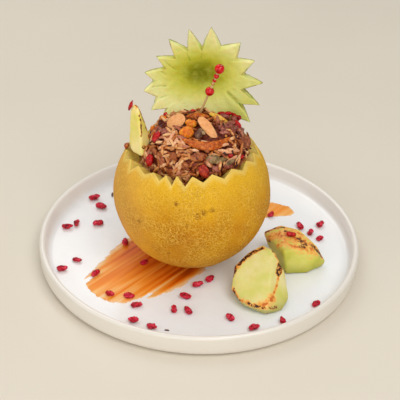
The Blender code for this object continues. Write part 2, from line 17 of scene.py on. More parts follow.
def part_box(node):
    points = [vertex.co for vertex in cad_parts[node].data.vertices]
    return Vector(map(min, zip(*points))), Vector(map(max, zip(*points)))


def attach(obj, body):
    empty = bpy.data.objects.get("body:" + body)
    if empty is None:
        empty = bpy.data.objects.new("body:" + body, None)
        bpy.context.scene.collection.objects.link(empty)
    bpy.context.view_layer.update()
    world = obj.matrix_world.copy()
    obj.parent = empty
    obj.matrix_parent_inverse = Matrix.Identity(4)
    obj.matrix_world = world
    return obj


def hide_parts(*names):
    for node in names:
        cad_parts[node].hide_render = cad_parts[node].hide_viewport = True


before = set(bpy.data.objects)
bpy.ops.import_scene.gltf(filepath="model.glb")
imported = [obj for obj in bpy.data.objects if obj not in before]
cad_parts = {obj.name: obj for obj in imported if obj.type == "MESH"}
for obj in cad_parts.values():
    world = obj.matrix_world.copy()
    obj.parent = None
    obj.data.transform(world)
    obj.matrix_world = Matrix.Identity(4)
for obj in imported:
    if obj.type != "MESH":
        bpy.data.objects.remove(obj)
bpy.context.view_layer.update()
MM = 0.001

# %% [markdown]
# ## Camera, floor and light
# The camera stands in front of the dish and looks down on it by a third of a right angle, with a
# slight roll. A long lens keeps the plate's ellipse calm. Food is shot in broad soft light, so four
# large area lamps and a pale world are enough: they give weak shadows and long soft highlights.

# %% Camera
CAMERA_PLACE = Vector((0.0, -676.4, 503.1)) * MM
CAMERA_PITCH, CAMERA_YAW, CAMERA_ROLL = math.radians(33.64), math.radians(-0.06), math.radians(2.11)
FIELD_OF_VIEW = math.radians(24)
PICTURE_SIDE = 400

camera = bpy.data.objects.new("camera", bpy.data.cameras.new("camera"))
camera.data.angle = FIELD_OF_VIEW
camera.matrix_world = (
    Matrix.Translation(CAMERA_PLACE)
    @ Matrix.Rotation(-CAMERA_YAW, 4, "Z")
    @ Matrix.Rotation(math.pi / 2 - CAMERA_PITCH, 4, "X")
    @ Matrix.Rotation(CAMERA_ROLL, 4, "Z")
)
bpy.context.scene.collection.objects.link(camera)
bpy.context.scene.camera = camera


def sight(across, down):
    """The direction that the camera sees at a picture coordinate, 0 to 400 across and down."""
    reach = PICTURE_SIDE / 2 / math.tan(FIELD_OF_VIEW / 2)
    local = Vector((across - PICTURE_SIDE / 2, PICTURE_SIDE / 2 - down, -reach))
    return (camera.matrix_world.to_3x3() @ local).normalized()


# %% Node helpers
def tint(red, green, blue):
    """A colour given in parts of 255, as the linear values that shaders take."""
    parts = [part / 255 for part in (red, green, blue)]
    return (*[p / 12.92 if p <= 0.04045 else ((p + 0.055) / 1.055) ** 2.4 for p in parts], 1.0)


def add(where, kind, inputs=None, out=0, **settings):
    """Adds a node to a tree, or beside an output, sets or links its inputs, returns one output."""
    tree = where if isinstance(where, bpy.types.NodeTree) else where.id_data
    made = tree.nodes.new(kind)
    for name, value in settings.items():
        setattr(made, name, value)
    for key, value in (inputs or {}).items():
        if isinstance(value, bpy.types.NodeSocket):
            tree.links.new(value, made.inputs[key])
        else:
            made.inputs[key].default_value = value
    return made.outputs[out]


def calc(operation, *values):
    beside = next(value for value in values if isinstance(value, bpy.types.NodeSocket))
    return add(beside, "ShaderNodeMath", dict(enumerate(values)), operation=operation)


def vector(operation, *values):
    """Vector arithmetic; an operation that measures a vector gives a number."""
    keys = (0, "Scale") if operation == "SCALE" else (0, 1)
    out = "Value" if operation in ("LENGTH", "DISTANCE", "DOT_PRODUCT") else "Vector"
    sockets = dict(zip(keys, values))
    return add(values[0], "ShaderNodeVectorMath", sockets, out, operation=operation)


def part_of(place, axis):
    return add(place, "ShaderNodeSeparateXYZ", {0: place}, axis)


def stored(where, name):
    """A number that is stored at each point of the mesh."""
    return add(where, "ShaderNodeAttribute", out="Fac", attribute_name=name)


def span(value, low, high, to_low=0.0, to_high=1.0):
    """Turns a value's stretch from low to high into another one, with soft ends."""
    ends = ("Value", "From Min", "From Max", "To Min", "To Max")
    sockets = dict(zip(ends, (value, low, high, to_low, to_high)))
    return add(value, "ShaderNodeMapRange", sockets, interpolation_type="SMOOTHSTEP")


def speckle(place, size, detail=3.0, rough=0.5, out=0):
    """Noise whose lumps are about this big."""
    sockets = {"Vector": place, "Scale": 1 / size, "Detail": detail, "Roughness": rough}
    return add(place, "ShaderNodeTexNoise", sockets, out)


def blend(factor, first, second):
    """From a first colour to a second one, which is an output or parts of 255."""
    second = tint(*second) if isinstance(second, tuple) else second
    return add(first, "ShaderNodeMix", {0: factor, 6: first, 7: second}, 2, data_type="RGBA")


def ramp(value, *stops):
    """A run of colours along a value, given as (place, parts of 255) pairs."""
    colours = add(value, "ShaderNodeValToRGB", {0: value})
    points = colours.node.color_ramp.elements
    points[0].position, points[-1].position = stops[0][0], stops[-1][0]
    for place, _ in stops[1:-1]:
        points.new(place)
    for point, (_, colour) in zip(points, stops):
        point.color = tint(*colour)
    return colours


def start_finish(name, roughness, **fixed):
    """A new material, and the object's own coordinates in its tree."""
    material = bpy.data.materials.new(name)
    material.use_nodes = True
    shader = material.node_tree.nodes["Principled BSDF"]
    shader.inputs["Roughness"].default_value = roughness
    for key, value in fixed.items():
        shader.inputs[key.replace("_", " ")].default_value = value
    return material, add(material.node_tree, "ShaderNodeTexCoord", out="Object")


def set_shader(material, **values):
    """Links outputs to the inputs of a material's shader."""
    shader = material.node_tree.nodes["Principled BSDF"]
    for key, value in values.items():
        material.node_tree.links.new(value, shader.inputs[key.replace("_", " ")])


def end_finish(material, colour, height, depth):
    """Gives a material its colour and a bump of this depth."""
    bumped = add(colour, "ShaderNodeBump", {"Height": height, "Distance": depth})
    set_shader(material, Base_Color=colour, Normal=bumped)
    return material


# %% Floor and light
FLOOR_SIDE = 6.0
LIGHTS = (
    ("key", (0.55, -0.7, 1.5), 1.1, 13.0, (1.0, 0.99, 0.98)),
    ("back", (-0.5, 0.9, 1.4), 1.2, 8.0, (1.0, 0.995, 0.99)),
    ("front", (-0.1, -1.7, 0.6), 1.4, 10.5, (1.0, 0.99, 0.98)),
    ("left", (-1.5, -0.7, 0.45), 1.2, 5.5, (1.0, 0.995, 0.99)),
)
AIM = Vector((0, 0, 60)) * MM
WORLD_STRENGTH = 0.42


def make_floor():
    floor_finish, place = start_finish("floor_paper", 0.8)
    shade = ramp(speckle(place, 0.2), (0.3, (219, 210, 194)), (0.7, (222, 213, 197)))
    end_finish(floor_finish, shade, speckle(place, 1 * MM), 0.05 * MM)
    bm = bmesh.new()
    bmesh.ops.create_grid(bm, x_segments=2, y_segments=2, size=FLOOR_SIDE / 2)
    mesh = bpy.data.meshes.new("floor")
    bm.to_mesh(mesh)
    bm.free()
    mesh.materials.append(floor_finish)
    floor = bpy.data.objects.new("floor", mesh)
    bpy.context.scene.collection.objects.link(floor)


def make_lights():
    for name, place, side, watts, colour in LIGHTS:
        lamp = bpy.data.lights.new(name, "AREA")
        lamp.shape = "SQUARE"
        lamp.size, lamp.energy, lamp.color = side, watts, colour
        stand = bpy.data.objects.new(name, lamp)
        stand.location = place
        stand.rotation_euler = (AIM - Vector(place)).to_track_quat("-Z", "Y").to_euler()
        bpy.context.scene.collection.objects.link(stand)
    world = bpy.data.worlds.new("studio")
    world.use_nodes = True
    bpy.context.scene.world = world
    sky = world.node_tree.nodes["Background"]
    sky.inputs["Color"].default_value = tint(250, 249, 247)
    sky.inputs["Strength"].default_value = WORLD_STRENGTH
    bpy.context.scene.view_settings.view_transform = "Standard"


make_floor()
make_lights()
print("lamps:", len(LIGHTS))


# %% [markdown]
# ## Shared ways of making a piece
# Every piece ends as one object at the origin with its place in its mesh. Some start as a fine
# copy of their plain solid, some are built from a rule. Geometry Nodes trees are built with named
# inputs; the result is baked to a plain mesh before the piece is tied to the frame.

# %% Mesh helpers
def put_in_scene(name, mesh, *finishes, smooth=True):
    obj = bpy.data.objects.new(name, mesh)
    bpy.context.scene.collection.objects.link(obj)
    if len(mesh.materials):
        mesh.materials.clear()
    for finish in finishes:
        mesh.materials.append(finish)
    if smooth:
        mesh.shade_smooth()
    return obj


def mesh_of(name, bm, outwards=True):
    """Turns a bmesh into a mesh and frees it; a closed one's faces are turned outwards."""
    if outwards:
        bmesh.ops.recalc_face_normals(bm, faces=bm.faces)
    mesh = bpy.data.meshes.new(name)
    bm.to_mesh(mesh)
    bm.free()
    return mesh


def copy_of(node):
    """A welded bmesh copy of a solid."""
    bm = bmesh.new()
    bm.from_mesh(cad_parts[node].data)
    bmesh.ops.remove_doubles(bm, verts=bm.verts, dist=0.005 * MM)
    return bm


def bake(obj):
    """Replaces the object's mesh by what its modifiers make of it, and drops them."""
    bpy.context.view_layer.update()
    graph = bpy.context.evaluated_depsgraph_get()
    made = bpy.data.meshes.new_from_object(obj.evaluated_get(graph))
    obj.modifiers.clear()
    obj.data = made
    return obj


def shape_with(obj, kind, **settings):
    """Puts a modifier with its settings on an object."""
    modifier = obj.modifiers.new(kind.lower(), kind)
    for name, value in settings.items():
        setattr(modifier, name, value)


def turn_profile(name, profile, steps, finish, closed=False):
    """Turns (radius, height) points about the Z axis into a body."""
    bm = bmesh.new()
    verts = [bm.verts.new((radius, 0, height)) for radius, height in profile]
    for first, second in zip(verts, verts[1:] + verts[:1] if closed else verts[1:]):
        bm.edges.new((first, second))
    piece = put_in_scene(name, mesh_of(name, bm, False), finish)
    turn = dict(steps=steps, render_steps=steps, use_smooth_shade=True)
    shape_with(piece, "SCREW", use_merge_vertices=True, merge_threshold=0.01 * MM, **turn)
    return bake(piece)


def mesh_tree(*meshes):
    """A tree of surfaces, for rays and distances."""
    verts, faces = [], []
    for mesh in meshes:
        mesh.calc_loop_triangles()
        start = len(verts)
        faces += [tuple(start + index for index in face.vertices) for face in mesh.loop_triangles]
        verts += [vert.co.copy() for vert in mesh.vertices]
    return BVHTree.FromPolygons(verts, faces)


def touch_tree(*names):
    return mesh_tree(*[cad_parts[name].data for name in names])


def seen_on(solid, across, down):
    """Place and normal of a solid behind a picture coordinate, or nearest to that line of sight."""
    way = sight(across, down)
    place, normal = solid.ray_cast(CAMERA_PLACE, way)[:2]
    if place is None:
        place = Vector((0, 0, 100)) * MM
        for _ in range(10):
            away = (place - CAMERA_PLACE).dot(way)
            place, normal = solid.find_nearest(CAMERA_PLACE + way * away)[:2]
    return place, normal


# Where a painted line ends, as a share of its half width, and the size of its unevenness.
LINE_END, LINE_GRAIN = 1.25, 2.2 * MM


def line_distances(points, line):
    """Distance from each row of points to a run of points."""
    best = np.full(len(points), 1.0)
    for first, second in zip(line, line[1:]):
        step = np.array(second - first)
        share = np.clip((points - np.array(first)) @ step / max(step @ step, 1e-12), 0, 1)
        away = points - np.array(first) - share[:, None] * step
        best = np.minimum(best, np.linalg.norm(away, axis=1))
    return best


def paint_lines(mesh, attribute, solid, lines):
    """Stores how close points are to lines of (strength, half width in mm, picture coordinates)."""
    points = np.empty(3 * len(mesh.vertices))
    mesh.vertices.foreach_get("co", points)
    points = points.reshape(-1, 3)
    found = np.zeros(len(points))
    for strength, width, marks in lines:
        hits = [seen_on(solid, *mark)[0] for mark in marks]
        away = line_distances(points, hits if len(hits) > 1 else hits * 2) / (width * MM)
        found = np.maximum(found, strength * np.maximum(0.0, LINE_END - away))
    for index in np.flatnonzero(found):
        found[index] *= 0.75 + 0.5 * noise.noise(Vector(points[index]) / LINE_GRAIN)
    mesh.attributes.new(attribute, "FLOAT", "POINT").data.foreach_set("value", found)
    return found


def finish_piece(obj, slot, *nodes):
    """Ties a finished piece to the frame."""
    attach(obj, "root")
    if nodes:
        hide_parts(*nodes)
    triangles = sum(len(polygon.vertices) - 2 for polygon in obj.data.polygons)
    print(f"{obj.name}: {triangles} triangles for {len(nodes)} solids")
    return obj


# %% Geometry Nodes helpers
def start_tree(name, **sizes):
    """A geometry tree with a geometry input, number inputs and a material input."""
    tree = bpy.data.node_groups.new(name, "GeometryNodeTree")
    tree.interface.new_socket("Geometry", in_out="INPUT", socket_type="NodeSocketGeometry")
    tree.interface.new_socket("Geometry", in_out="OUTPUT", socket_type="NodeSocketGeometry")
    for size, value in sizes.items():
        kind = "NodeSocketInt" if isinstance(value, int) else "NodeSocketFloat"
        tree.interface.new_socket(size, in_out="INPUT", socket_type=kind).default_value = value
    tree.interface.new_socket("Finish", in_out="INPUT", socket_type="NodeSocketMaterial")
    return tree, tree.nodes.new("NodeGroupInput").outputs


def end_tree(tree, geometry, given):
    solid = add(tree, "GeometryNodeRealizeInstances", {"Geometry": geometry})
    faced = add(tree, "GeometryNodeSetShadeSmooth", {"Geometry": solid, "Shade Smooth": True})
    painted = add(tree, "GeometryNodeSetMaterial", {"Geometry": faced, "Material": given["Finish"]})
    tree.links.new(painted, tree.nodes.new("NodeGroupOutput").inputs["Geometry"])
    return tree


def run_tree(obj, tree, **values):
    """Puts a tree on an object, sets its inputs by their identifiers and bakes the result."""
    modifier = obj.modifiers.new(tree.name, "NODES")
    modifier.node_group = tree
    for item in tree.interface.items_tree:
        if item.in_out == "INPUT" and item.name in values:
            modifier[item.identifier] = values[item.name]
    return bake(obj)


def move_along_normal(geometry, amount):
    normal = add(geometry, "GeometryNodeInputNormal")
    offset = vector("SCALE", normal, amount)
    return add(geometry, "GeometryNodeSetPosition", {"Geometry": geometry, "Offset": offset})


# %% [markdown]
# ## Plate
# The plate is thrown stoneware under a white glaze: a flat floor, a low upright wall and a rounded
# lip. A turned profile with a Screw modifier makes it, with more steps than the plain solid has,
# so that the lip stays a clean ellipse. The glaze is a coat over a faintly uneven body, and
# the foot ring that stands on the table is bare clay.

# %% Plate profile
PLATE_STEPS = 256
LIP_STEPS = 10
plate_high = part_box("plate")[1]
PLATE_RADIUS = plate_high.x
PLATE_HEIGHT = plate_high.z
PLATE_WALL = 5 * MM
PLATE_FLOOR = 4.5 * MM
COVE = 6 * MM
FOOT_OUTER, FOOT_INNER, FOOT_HEIGHT = 132 * MM, 126 * MM, 1.2 * MM


def arc(across, up, radius, first, last):
    """Points of a part circle about a middle, from one angle in degrees to another."""
    shares = [step / LIP_STEPS for step in range(LIP_STEPS + 1)]
    angles = [math.radians(first + (last - first) * share) for share in shares]
    return [(across + radius * math.cos(angle), up + radius * math.sin(angle)) for angle in angles]


def plate_profile():
    """Radius and height from the middle of the floor over the lip to the middle underneath."""
    inner, lip = PLATE_RADIUS - PLATE_WALL, PLATE_WALL / 2
    points = [(radius * MM, PLATE_FLOOR) for radius in (0, 30, 60, 90, 115, 124)]
    points += arc(inner - COVE, PLATE_FLOOR + COVE, COVE, -90, 0)
    points += arc(inner + lip, PLATE_HEIGHT - lip, lip, 180, 0)
    points += arc(PLATE_RADIUS - COVE, COVE + 0.4 * MM, COVE, 0, -80)
    points += [(FOOT_OUTER + 0.3 * MM, 0.1 * MM), (FOOT_OUTER, 0), (FOOT_INNER, 0)]
    points += [(FOOT_INNER - 0.6 * MM, 0.3 * MM), (FOOT_INNER - 1.5 * MM, FOOT_HEIGHT)]
    points += [(60 * MM, FOOT_HEIGHT), (0, FOOT_HEIGHT)]
    return points


def glaze_finish():
    material, place = start_finish("white_glaze", 0.34, Coat_Weight=0.5, Coat_Roughness=0.12)
    cloud = speckle(place, 45 * MM, 2.0)
    body = ramp(cloud, (0.3, (240, 242, 243)), (0.7, (245, 247, 248)))
    pin = span(speckle(place, 1.1 * MM, 1.0), 0.70, 0.78, 0.0, 0.35)
    glazed = blend(pin, body, (214, 205, 190))
    # Painted shade: the inner wall is painted a little darker, and the lip and outer wall darker
    # still.
    flat = vector("MULTIPLY", place, (1, 1, 0))
    radius = vector("LENGTH", flat)
    glazed = blend(span(radius, 131 * MM, 136 * MM), glazed, (238, 233, 225))
    glazed = blend(span(radius, 136 * MM, 139.5 * MM), glazed, (224, 217, 205))
    height = part_of(place, "Z")
    bare = span(height, 0.45 * MM, 0.25 * MM)
    grit = speckle(place, 0.8 * MM)
    clay = ramp(grit, (0.3, (205, 190, 168)), (0.7, (222, 210, 190)))
    colour = blend(bare, glazed, clay)
    set_shader(material, Roughness=span(bare, 0, 1, 0.3, 0.75))
    return end_finish(material, colour, speckle(place, 16 * MM, 2.0), 0.5 * MM)


plate = turn_profile("turned_plate", plate_profile(), PLATE_STEPS, glaze_finish())
finish_piece(plate, "porcelain", "plate")

# %% [markdown]
# ## Melon wall
# The melon and its lid are both a thick wall cut out of a ball by straight cuts that aim at its
# middle, so one rule makes both: polar rows from a pole out to the cut edge, over the edge, and
# back along the scooped inside. Where the edge runs is measured on the plain solid with rays.

# %% Ball wall
MELON_RADIUS = 66 * MM
MELON_CENTRE = Vector((-7.75, -9.45, 69.6)) * MM
FLESH = 14 * MM
EDGE_ROUND = 0.5 * MM
FACE_ROWS = 8
# Where the search for the edge starts, its steps, and how finely it looks for tips and notches.
NARROWEST, HALVINGS, EDGE_FINER, TIP_REACH = 0.3, 13, 4, 6


def edge_of(node, centre, basis, columns, widest):
    """Polar angle of the cut edge at each angle round the pole, found by halving with rays."""
    solid = touch_tree(node)

    def reaches(turn, polar):
        flat = math.sin(polar)
        way = basis @ Vector((flat * math.cos(turn), flat * math.sin(turn), math.cos(polar)))
        return solid.ray_cast(centre, way)[0] is not None

    def edge_at(turn):
        low, high = NARROWEST, widest
        for _ in range(HALVINGS):
            middle = (low + high) / 2
            low, high = (middle, high) if reaches(turn, middle) else (low, middle)
        return low

    fine = EDGE_FINER * columns
    turns = np.arange(fine) * math.tau / fine
    edges = np.array([edge_at(turn) for turn in turns])
    chosen = np.arange(columns) * EDGE_FINER
    for index in range(fine):
        near = edges[np.arange(index - TIP_REACH, index + TIP_REACH + 1) % fine]
        if edges[index] in (near.max(), near.min()):
            chosen[round(index / EDGE_FINER) % columns] = index
    return turns[chosen], edges[chosen]


def ball_wall(name, centre, basis, turns, edges, inner_at, outer_rows, inner_rows):
    """The wall as a mesh: material 0 is the skin, 1 the flesh, which follows the rule inner_at."""
    soft, outer = EDGE_ROUND, MELON_RADIUS
    inner = inner_at(edges)
    rings = [(edges * row / outer_rows, outer) for row in range(1, outer_rows)]
    rings += [(edges - soft / outer, outer), (edges - 0.25 * soft / outer, outer - 0.25 * soft)]
    skin_rings = len(rings)
    rings += [(edges, radius) for radius in np.linspace(outer - soft, inner + soft, FACE_ROWS)]
    rings += [(edges - 0.25 * soft / inner, inner + 0.25 * soft), (edges - soft / inner, inner)]
    for row in range(inner_rows - 1, 0, -1):
        polar = edges * row / inner_rows
        rings.append((polar, inner_at(polar)))
    frame_of = np.array(basis)
    points = [np.array([[0, 0, outer]])]
    steps = [min(1.0, (ring + 1) / outer_rows) for ring in range(len(rings))]
    shares = [0.0, *(step for step in steps for _ in turns), 1.0]
    for polar, radius in rings:
        wide = np.sin(polar)
        flat = np.stack([wide * np.cos(turns), wide * np.sin(turns), np.cos(polar)], 1)
        points.append(flat * np.broadcast_to(radius, len(turns))[:, None])
    points.append(np.array([[0, 0, inner_at(np.zeros(1))[0]]]))
    points = np.concatenate(points) @ frame_of.T + np.array(centre)
    count, last = len(turns), len(points) - 1
    faces, kinds = [], []
    for column in range(count):
        following = (column + 1) % count
        faces.append((0, 1 + column, 1 + following))
        kinds.append(0)
        for ring in range(len(rings) - 1):
            a, b = 1 + ring * count + column, 1 + ring * count + following
            faces.append((a, a + count, b + count, b))
            kinds.append(0 if ring < skin_rings else 1)
        top = 1 + (len(rings) - 1) * count
        faces.append((top + column, last, top + following))
        kinds.append(1)
    mesh = bpy.data.meshes.new(name)
    mesh.from_pydata([tuple(p) for p in points], [], faces)
    mesh.polygons.foreach_set("material_index", kinds)
    mesh.attributes.new("edge", "FLOAT", "POINT").data.foreach_set("value", shares)
    bm = bmesh.new()
    bm.from_mesh(mesh)
    if bm.calc_volume(signed=True) < 0:
        bmesh.ops.reverse_faces(bm, faces=bm.faces)
    bm.to_mesh(mesh)
    bm.free()
    return mesh


# %% [markdown]
# ## Rind and flesh
# A netted melon has a thin ochre skin under a web of raised cork lines, finer than the cells of a
# leaf. The same web is built twice from one function: in a geometry tree, where it lifts the mesh,
# and in the shader, where it pales the same lines, so the colour always sits on its relief.

# %% Netting pattern
NET_CELL = 2.3 * MM
NET_WIDTH = 0.5 * MM
NET_HEIGHT = 0.16 * MM


def netting(place):
    """The web of cork lines: 1 on a line, 0 between them. It works in both kinds of tree."""
    wander = speckle(place, 1.4 * NET_CELL, 2.0, out="Color")
    shift = vector("SUBTRACT", wander, (0.5, 0.5, 0.5))
    shift = vector("SCALE", shift, 1.6 * NET_CELL)
    moved = vector("ADD", place, shift)
    cells = {"Vector": moved, "Scale": 1 / NET_CELL}
    web = add(place, "ShaderNodeTexVoronoi", cells, feature="DISTANCE_TO_EDGE")
    line = span(web, 0.0, NET_WIDTH / NET_CELL, 1.0, 0.0)
    strong = span(speckle(place, 22 * MM, 2.0), 0.35, 0.62, 0.35, 1.0)
    return calc("MULTIPLY", line, strong)


def near(place, point, radius):
    """1 at a point of the surface, falling to 0 at a ragged distance from it."""
    away = vector("DISTANCE", place, point)
    ragged = calc("MULTIPLY_ADD", speckle(place, 1.6 * MM), 1.1 * radius, away)
    return span(ragged, 0.8 * radius, 1.45 * radius, 1.0, 0.0)


def on_melon(across, down):
    """The point of the melon's skin behind a picture coordinate."""
    way = sight(across, down)
    back = CAMERA_PLACE - MELON_CENTRE
    half = back.dot(way)
    chord = math.sqrt(half * half - back.length_squared + MELON_RADIUS**2)
    return CAMERA_PLACE + way * (-half - chord)


# %% Rind finish
# Picture coordinate of each scar and its radius in millimetres.
RIND_SCARS = (
    ((198, 217), 4.4), ((204, 213), 4.4), ((212, 210), 3.6), ((176, 204), 3.0), ((169, 253), 2.4),
    ((229, 243), 1.6), ((139, 221), 2.6), ((187, 226), 2.0),
)


def rind_finish(name, lip):
    material, place = start_finish(name, 0.66, Specular_IOR_Level=0.1)
    patch = speckle(place, 30 * MM, 3.0)
    skin = ramp(patch, (0.3, (178, 110, 2)), (0.5, (194, 128, 4)), (0.72, (212, 152, 10)))
    # Painted light: the upper half of the skin is painted brighter and yellower.
    height = part_of(place, "Z")
    high = span(height, 66 * MM, 112 * MM, 0.0, 0.7)
    skin = blend(high, skin, (238, 192, 42))
    # Painted light: the left side of the skin is painted paler.
    side = part_of(place, "X")
    left = span(side, -25 * MM, -72 * MM, 0.0, 0.6)
    skin = blend(left, skin, (226, 168, 84))
    web = netting(place)
    skin = blend(calc("MULTIPLY", web, 0.62), skin, (240, 194, 84))
    pores = span(speckle(place, 0.8 * MM, 2.0), 0.54, 0.68, 0.0, 0.5)
    skin = blend(pores, skin, (176, 100, 8))
    crack = calc("SUBTRACT", speckle(place, 2.4 * MM, 4.0, 0.65), 0.5)
    crack = span(calc("ABSOLUTE", crack), 0.015, 0.07, 0.85, 0.14)
    for (across, down), radius in RIND_SCARS:
        scar = calc("MULTIPLY", near(place, on_melon(across, down), radius * MM), crack)
        skin = blend(scar, skin, (120, 62, 22))
    edge = stored(place, "edge")
    skin = blend(span(edge, 0.955, 0.995, 0.0, 0.8), skin, lip)
    rough = calc("MULTIPLY_ADD", speckle(place, 0.6 * MM), 0.45, web)
    return end_finish(material, skin, rough, 0.35 * MM)


def skin_line(place, centre):
    """1 on the thin green line where the flesh meets the skin."""
    away = vector("DISTANCE", place, centre)
    away = calc("MULTIPLY_ADD", speckle(place, 2.5 * MM), 0.5 * MM, away)
    return span(away, MELON_RADIUS - 1.4 * MM, MELON_RADIUS - 0.1 * MM, 0.0, 0.85)


def flesh_shader(name):
    juicy = dict(Subsurface_Weight=0.4, Subsurface_Scale=4 * MM, Coat_Weight=0.08)
    return start_finish(name, 0.4, Specular_IOR_Level=0.3, **juicy)


def flesh_finish(name, centre):
    """Golden flesh, deeper in patches, with a thin green line under the skin."""
    material, place = flesh_shader(name)
    cloud = speckle(place, 9 * MM, 3.0)
    colour = ramp(cloud, (0.3, (196, 168, 70)), (0.5, (218, 190, 92)), (0.7, (234, 210, 124)))
    colour = blend(skin_line(place, centre), colour, (176, 170, 60))
    return end_finish(material, colour, speckle(place, 1.3 * MM, 3.0, 0.6), 0.35 * MM)


def net_tree():
    tree, given = start_tree("net_relief", Height=NET_HEIGHT)
    place = add(tree, "GeometryNodeInputPosition")
    skin = calc("COMPARE", add(tree, "GeometryNodeInputMaterialIndex"), 0.0, 0.5)
    dents = span(speckle(place, 18 * MM, 2.0), 0.2, 0.8, -0.4 * MM, 0.4 * MM)
    lift = calc("MULTIPLY_ADD", netting(place), given["Height"], dents)
    scoop = span(speckle(place, 7 * MM, 2.0), 0.2, 0.8, -0.35 * MM, 0.35 * MM)
    flesh = calc("SUBTRACT", 1.0, skin)
    lift = calc("MULTIPLY", lift, skin)
    height = calc("ADD", lift, calc("MULTIPLY", scoop, flesh))
    moved = move_along_normal(given["Geometry"], height)
    tree.links.new(moved, tree.nodes.new("NodeGroupOutput").inputs["Geometry"])
    return tree


# %% Melon shell
SHELL_COLUMNS, SHELL_ROWS, INSIDE_ROWS = 420, 150, 16
down_basis = Matrix(((1, 0, 0), (0, -1, 0), (0, 0, -1)))


def make_shell():
    turns, edges = edge_of("melon_shell", MELON_CENTRE, down_basis, SHELL_COLUMNS, 2.7)

    def inner_at(polar):
        return np.full(len(polar), MELON_RADIUS - FLESH)

    mesh = ball_wall(
        "netted_shell", MELON_CENTRE, down_basis, turns, edges, inner_at, SHELL_ROWS, INSIDE_ROWS
    )
    rind = rind_finish("netted_rind", (230, 198, 104))
    shell = put_in_scene("netted_shell", mesh, rind, flesh_finish("rim_flesh", MELON_CENTRE))
    run_tree(shell, net_tree())
    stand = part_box("melon_shell")[0].z
    for vert in shell.data.vertices:
        vert.co.z = max(vert.co.z, stand)
    return finish_piece(shell, "melon_rind", "melon_shell")


shell = make_shell()
print("cut edge found at", SHELL_COLUMNS, "angles")

# %% [markdown]
# ## Lid
# The lid is the melon's cap, scooped to a thin dish with a deeper cup in its middle and cut to
# petals. It leans back on its edge in the filling. It is the same ball wall about another pole,
# with the dish's rule for its inner side. Its flesh is palest on the petals and olive in the cup,
# where the olive is painted shade lying in the cup's upper part, so the finish measures how far
# a point lies from there across the pole. Painted shade also darkens the lower right side and
# the creases between petals.

# %% Petal lid
LID_CENTRE = Vector((-1.6, 25.0, 149.0)) * MM
LID_LEAN, LID_TURN = math.radians(14), math.radians(-3)
LID_TIP_RADIUS = 49.4 * MM
LID_REACH = 51 * MM
LID_DISH, LID_CUP, LID_CUP_RADIUS, LID_EDGE = 14 * MM, 5 * MM, 18 * MM, 3 * MM
LID_TIP_HEIGHT = math.sqrt(MELON_RADIUS**2 - LID_TIP_RADIUS**2)
LID_COLUMNS, LID_ROWS = 510, 50
DISH_START, DISH_ROUNDS = 55 * MM, 60
CREASE_DEPTH = 0.8 * MM
# Middle of the painted shade in the lid's cup, up and aside from the pole, and how much it is
# squeezed from above and below.
CUP_SHADE_SPOT = (9 * MM, -3 * MM)
CUP_WIDE = 1.45
# Creases between petals, dented and darkened with painted shade: strength, half width in mm and
# picture coordinates.
LID_CREASES = (
    (1.0, 0.9, ((204, 43), (202.5, 50), (201, 58))),
    (0.8, 0.9, ((184, 48), (187, 54), (190, 61))),
    (1.0, 2.2, ((228, 93), (235, 100), (243, 108))),
    (0.8, 1.4, ((240, 73), (246, 74), (250, 70))),
    (0.8, 1.4, ((243, 91), (250, 97), (257, 95))),
    (0.7, 1.2, ((165, 61), (170, 66), (176, 70))),
    (0.7, 1.2, ((155, 69), (162, 72), (166, 75))),
    (0.7, 1.2, ((152, 87), (160, 86), (166, 86))),
    (0.6, 1.2, ((153, 102), (160, 98), (166, 96))),
    (0.7, 1.0, ((232, 60), (237, 56), (240, 46))),
)


def lid_frame():
    """The middle of the lid's ball and the axes about its pole, which points to the back."""
    flat = math.cos(LID_LEAN)
    out = Vector((math.sin(LID_TURN) * flat, -math.cos(LID_TURN) * flat, math.sin(LID_LEAN)))
    right = Vector((math.cos(LID_TURN), math.sin(LID_TURN), 0))
    up = right.cross(out)
    up = -up if up.z < 0 else up
    return LID_CENTRE + out * LID_TIP_HEIGHT, Matrix((up, right, -out)).transposed()


def dish_at(polar):
    """How far the scooped side lies from the ball's middle at each angle from the pole."""
    reach = np.full(len(polar), DISH_START)
    for _ in range(DISH_ROUNDS):
        across = reach * np.sin(polar)
        depth = LID_DISH * (1 - (across / LID_REACH) ** 2)
        depth += LID_CUP * np.exp(-((across / LID_CUP_RADIUS) ** 2))
        reach = (reach + (LID_TIP_HEIGHT + depth - LID_EDGE) / np.cos(polar)) / 2
    return reach


def petal_finish(name, centre, basis):
    material, place = flesh_shader(name)
    local = vector("SUBTRACT", place, centre)
    up, right = (
        vector("DOT_PRODUCT", local, tuple(basis.col[axis]))
        for axis in (0, 1)
    )
    # Painted shade in the cup: dark olive about the spot, fading to the pale flesh of the petals.
    rise = calc("MULTIPLY", calc("SUBTRACT", up, CUP_SHADE_SPOT[0]), CUP_WIDE)
    aside = calc("POWER", calc("SUBTRACT", right, CUP_SHADE_SPOT[1]), 2.0)
    away = calc("SQRT", calc("MULTIPLY_ADD", rise, rise, aside))
    away = calc("MULTIPLY_ADD", speckle(place, 9 * MM, 3.0), 7 * MM, away)
    share = span(away, 0.0, 60 * MM)
    colour = ramp(
        share, (0.02, (118, 122, 2)), (0.14, (144, 146, 12)), (0.32, (188, 186, 48)),
        (0.55, (212, 209, 98)), (0.9, (232, 230, 160))
    )
    # Painted shade: the lower right of the lid is painted darker olive.
    shaded = calc("SUBTRACT", right, up)
    colour = blend(span(shaded, 18 * MM, 48 * MM, 0.0, 0.65), colour, (188, 192, 56))
    streak = span(speckle(place, 5 * MM, 4.0, 0.6), 0.4, 0.7, 0.0, 0.3)
    colour = blend(streak, colour, (206, 206, 92))
    # Painted shade along the creases between petals.
    crease = stored(place, "crease")
    colour = blend(span(crease, 0.1, 1.1, 0.0, 0.75), colour, (150, 158, 30))
    colour = blend(skin_line(place, centre), colour, (112, 122, 40))
    return end_finish(material, colour, speckle(place, 1.5 * MM, 3.0, 0.6), 0.3 * MM)


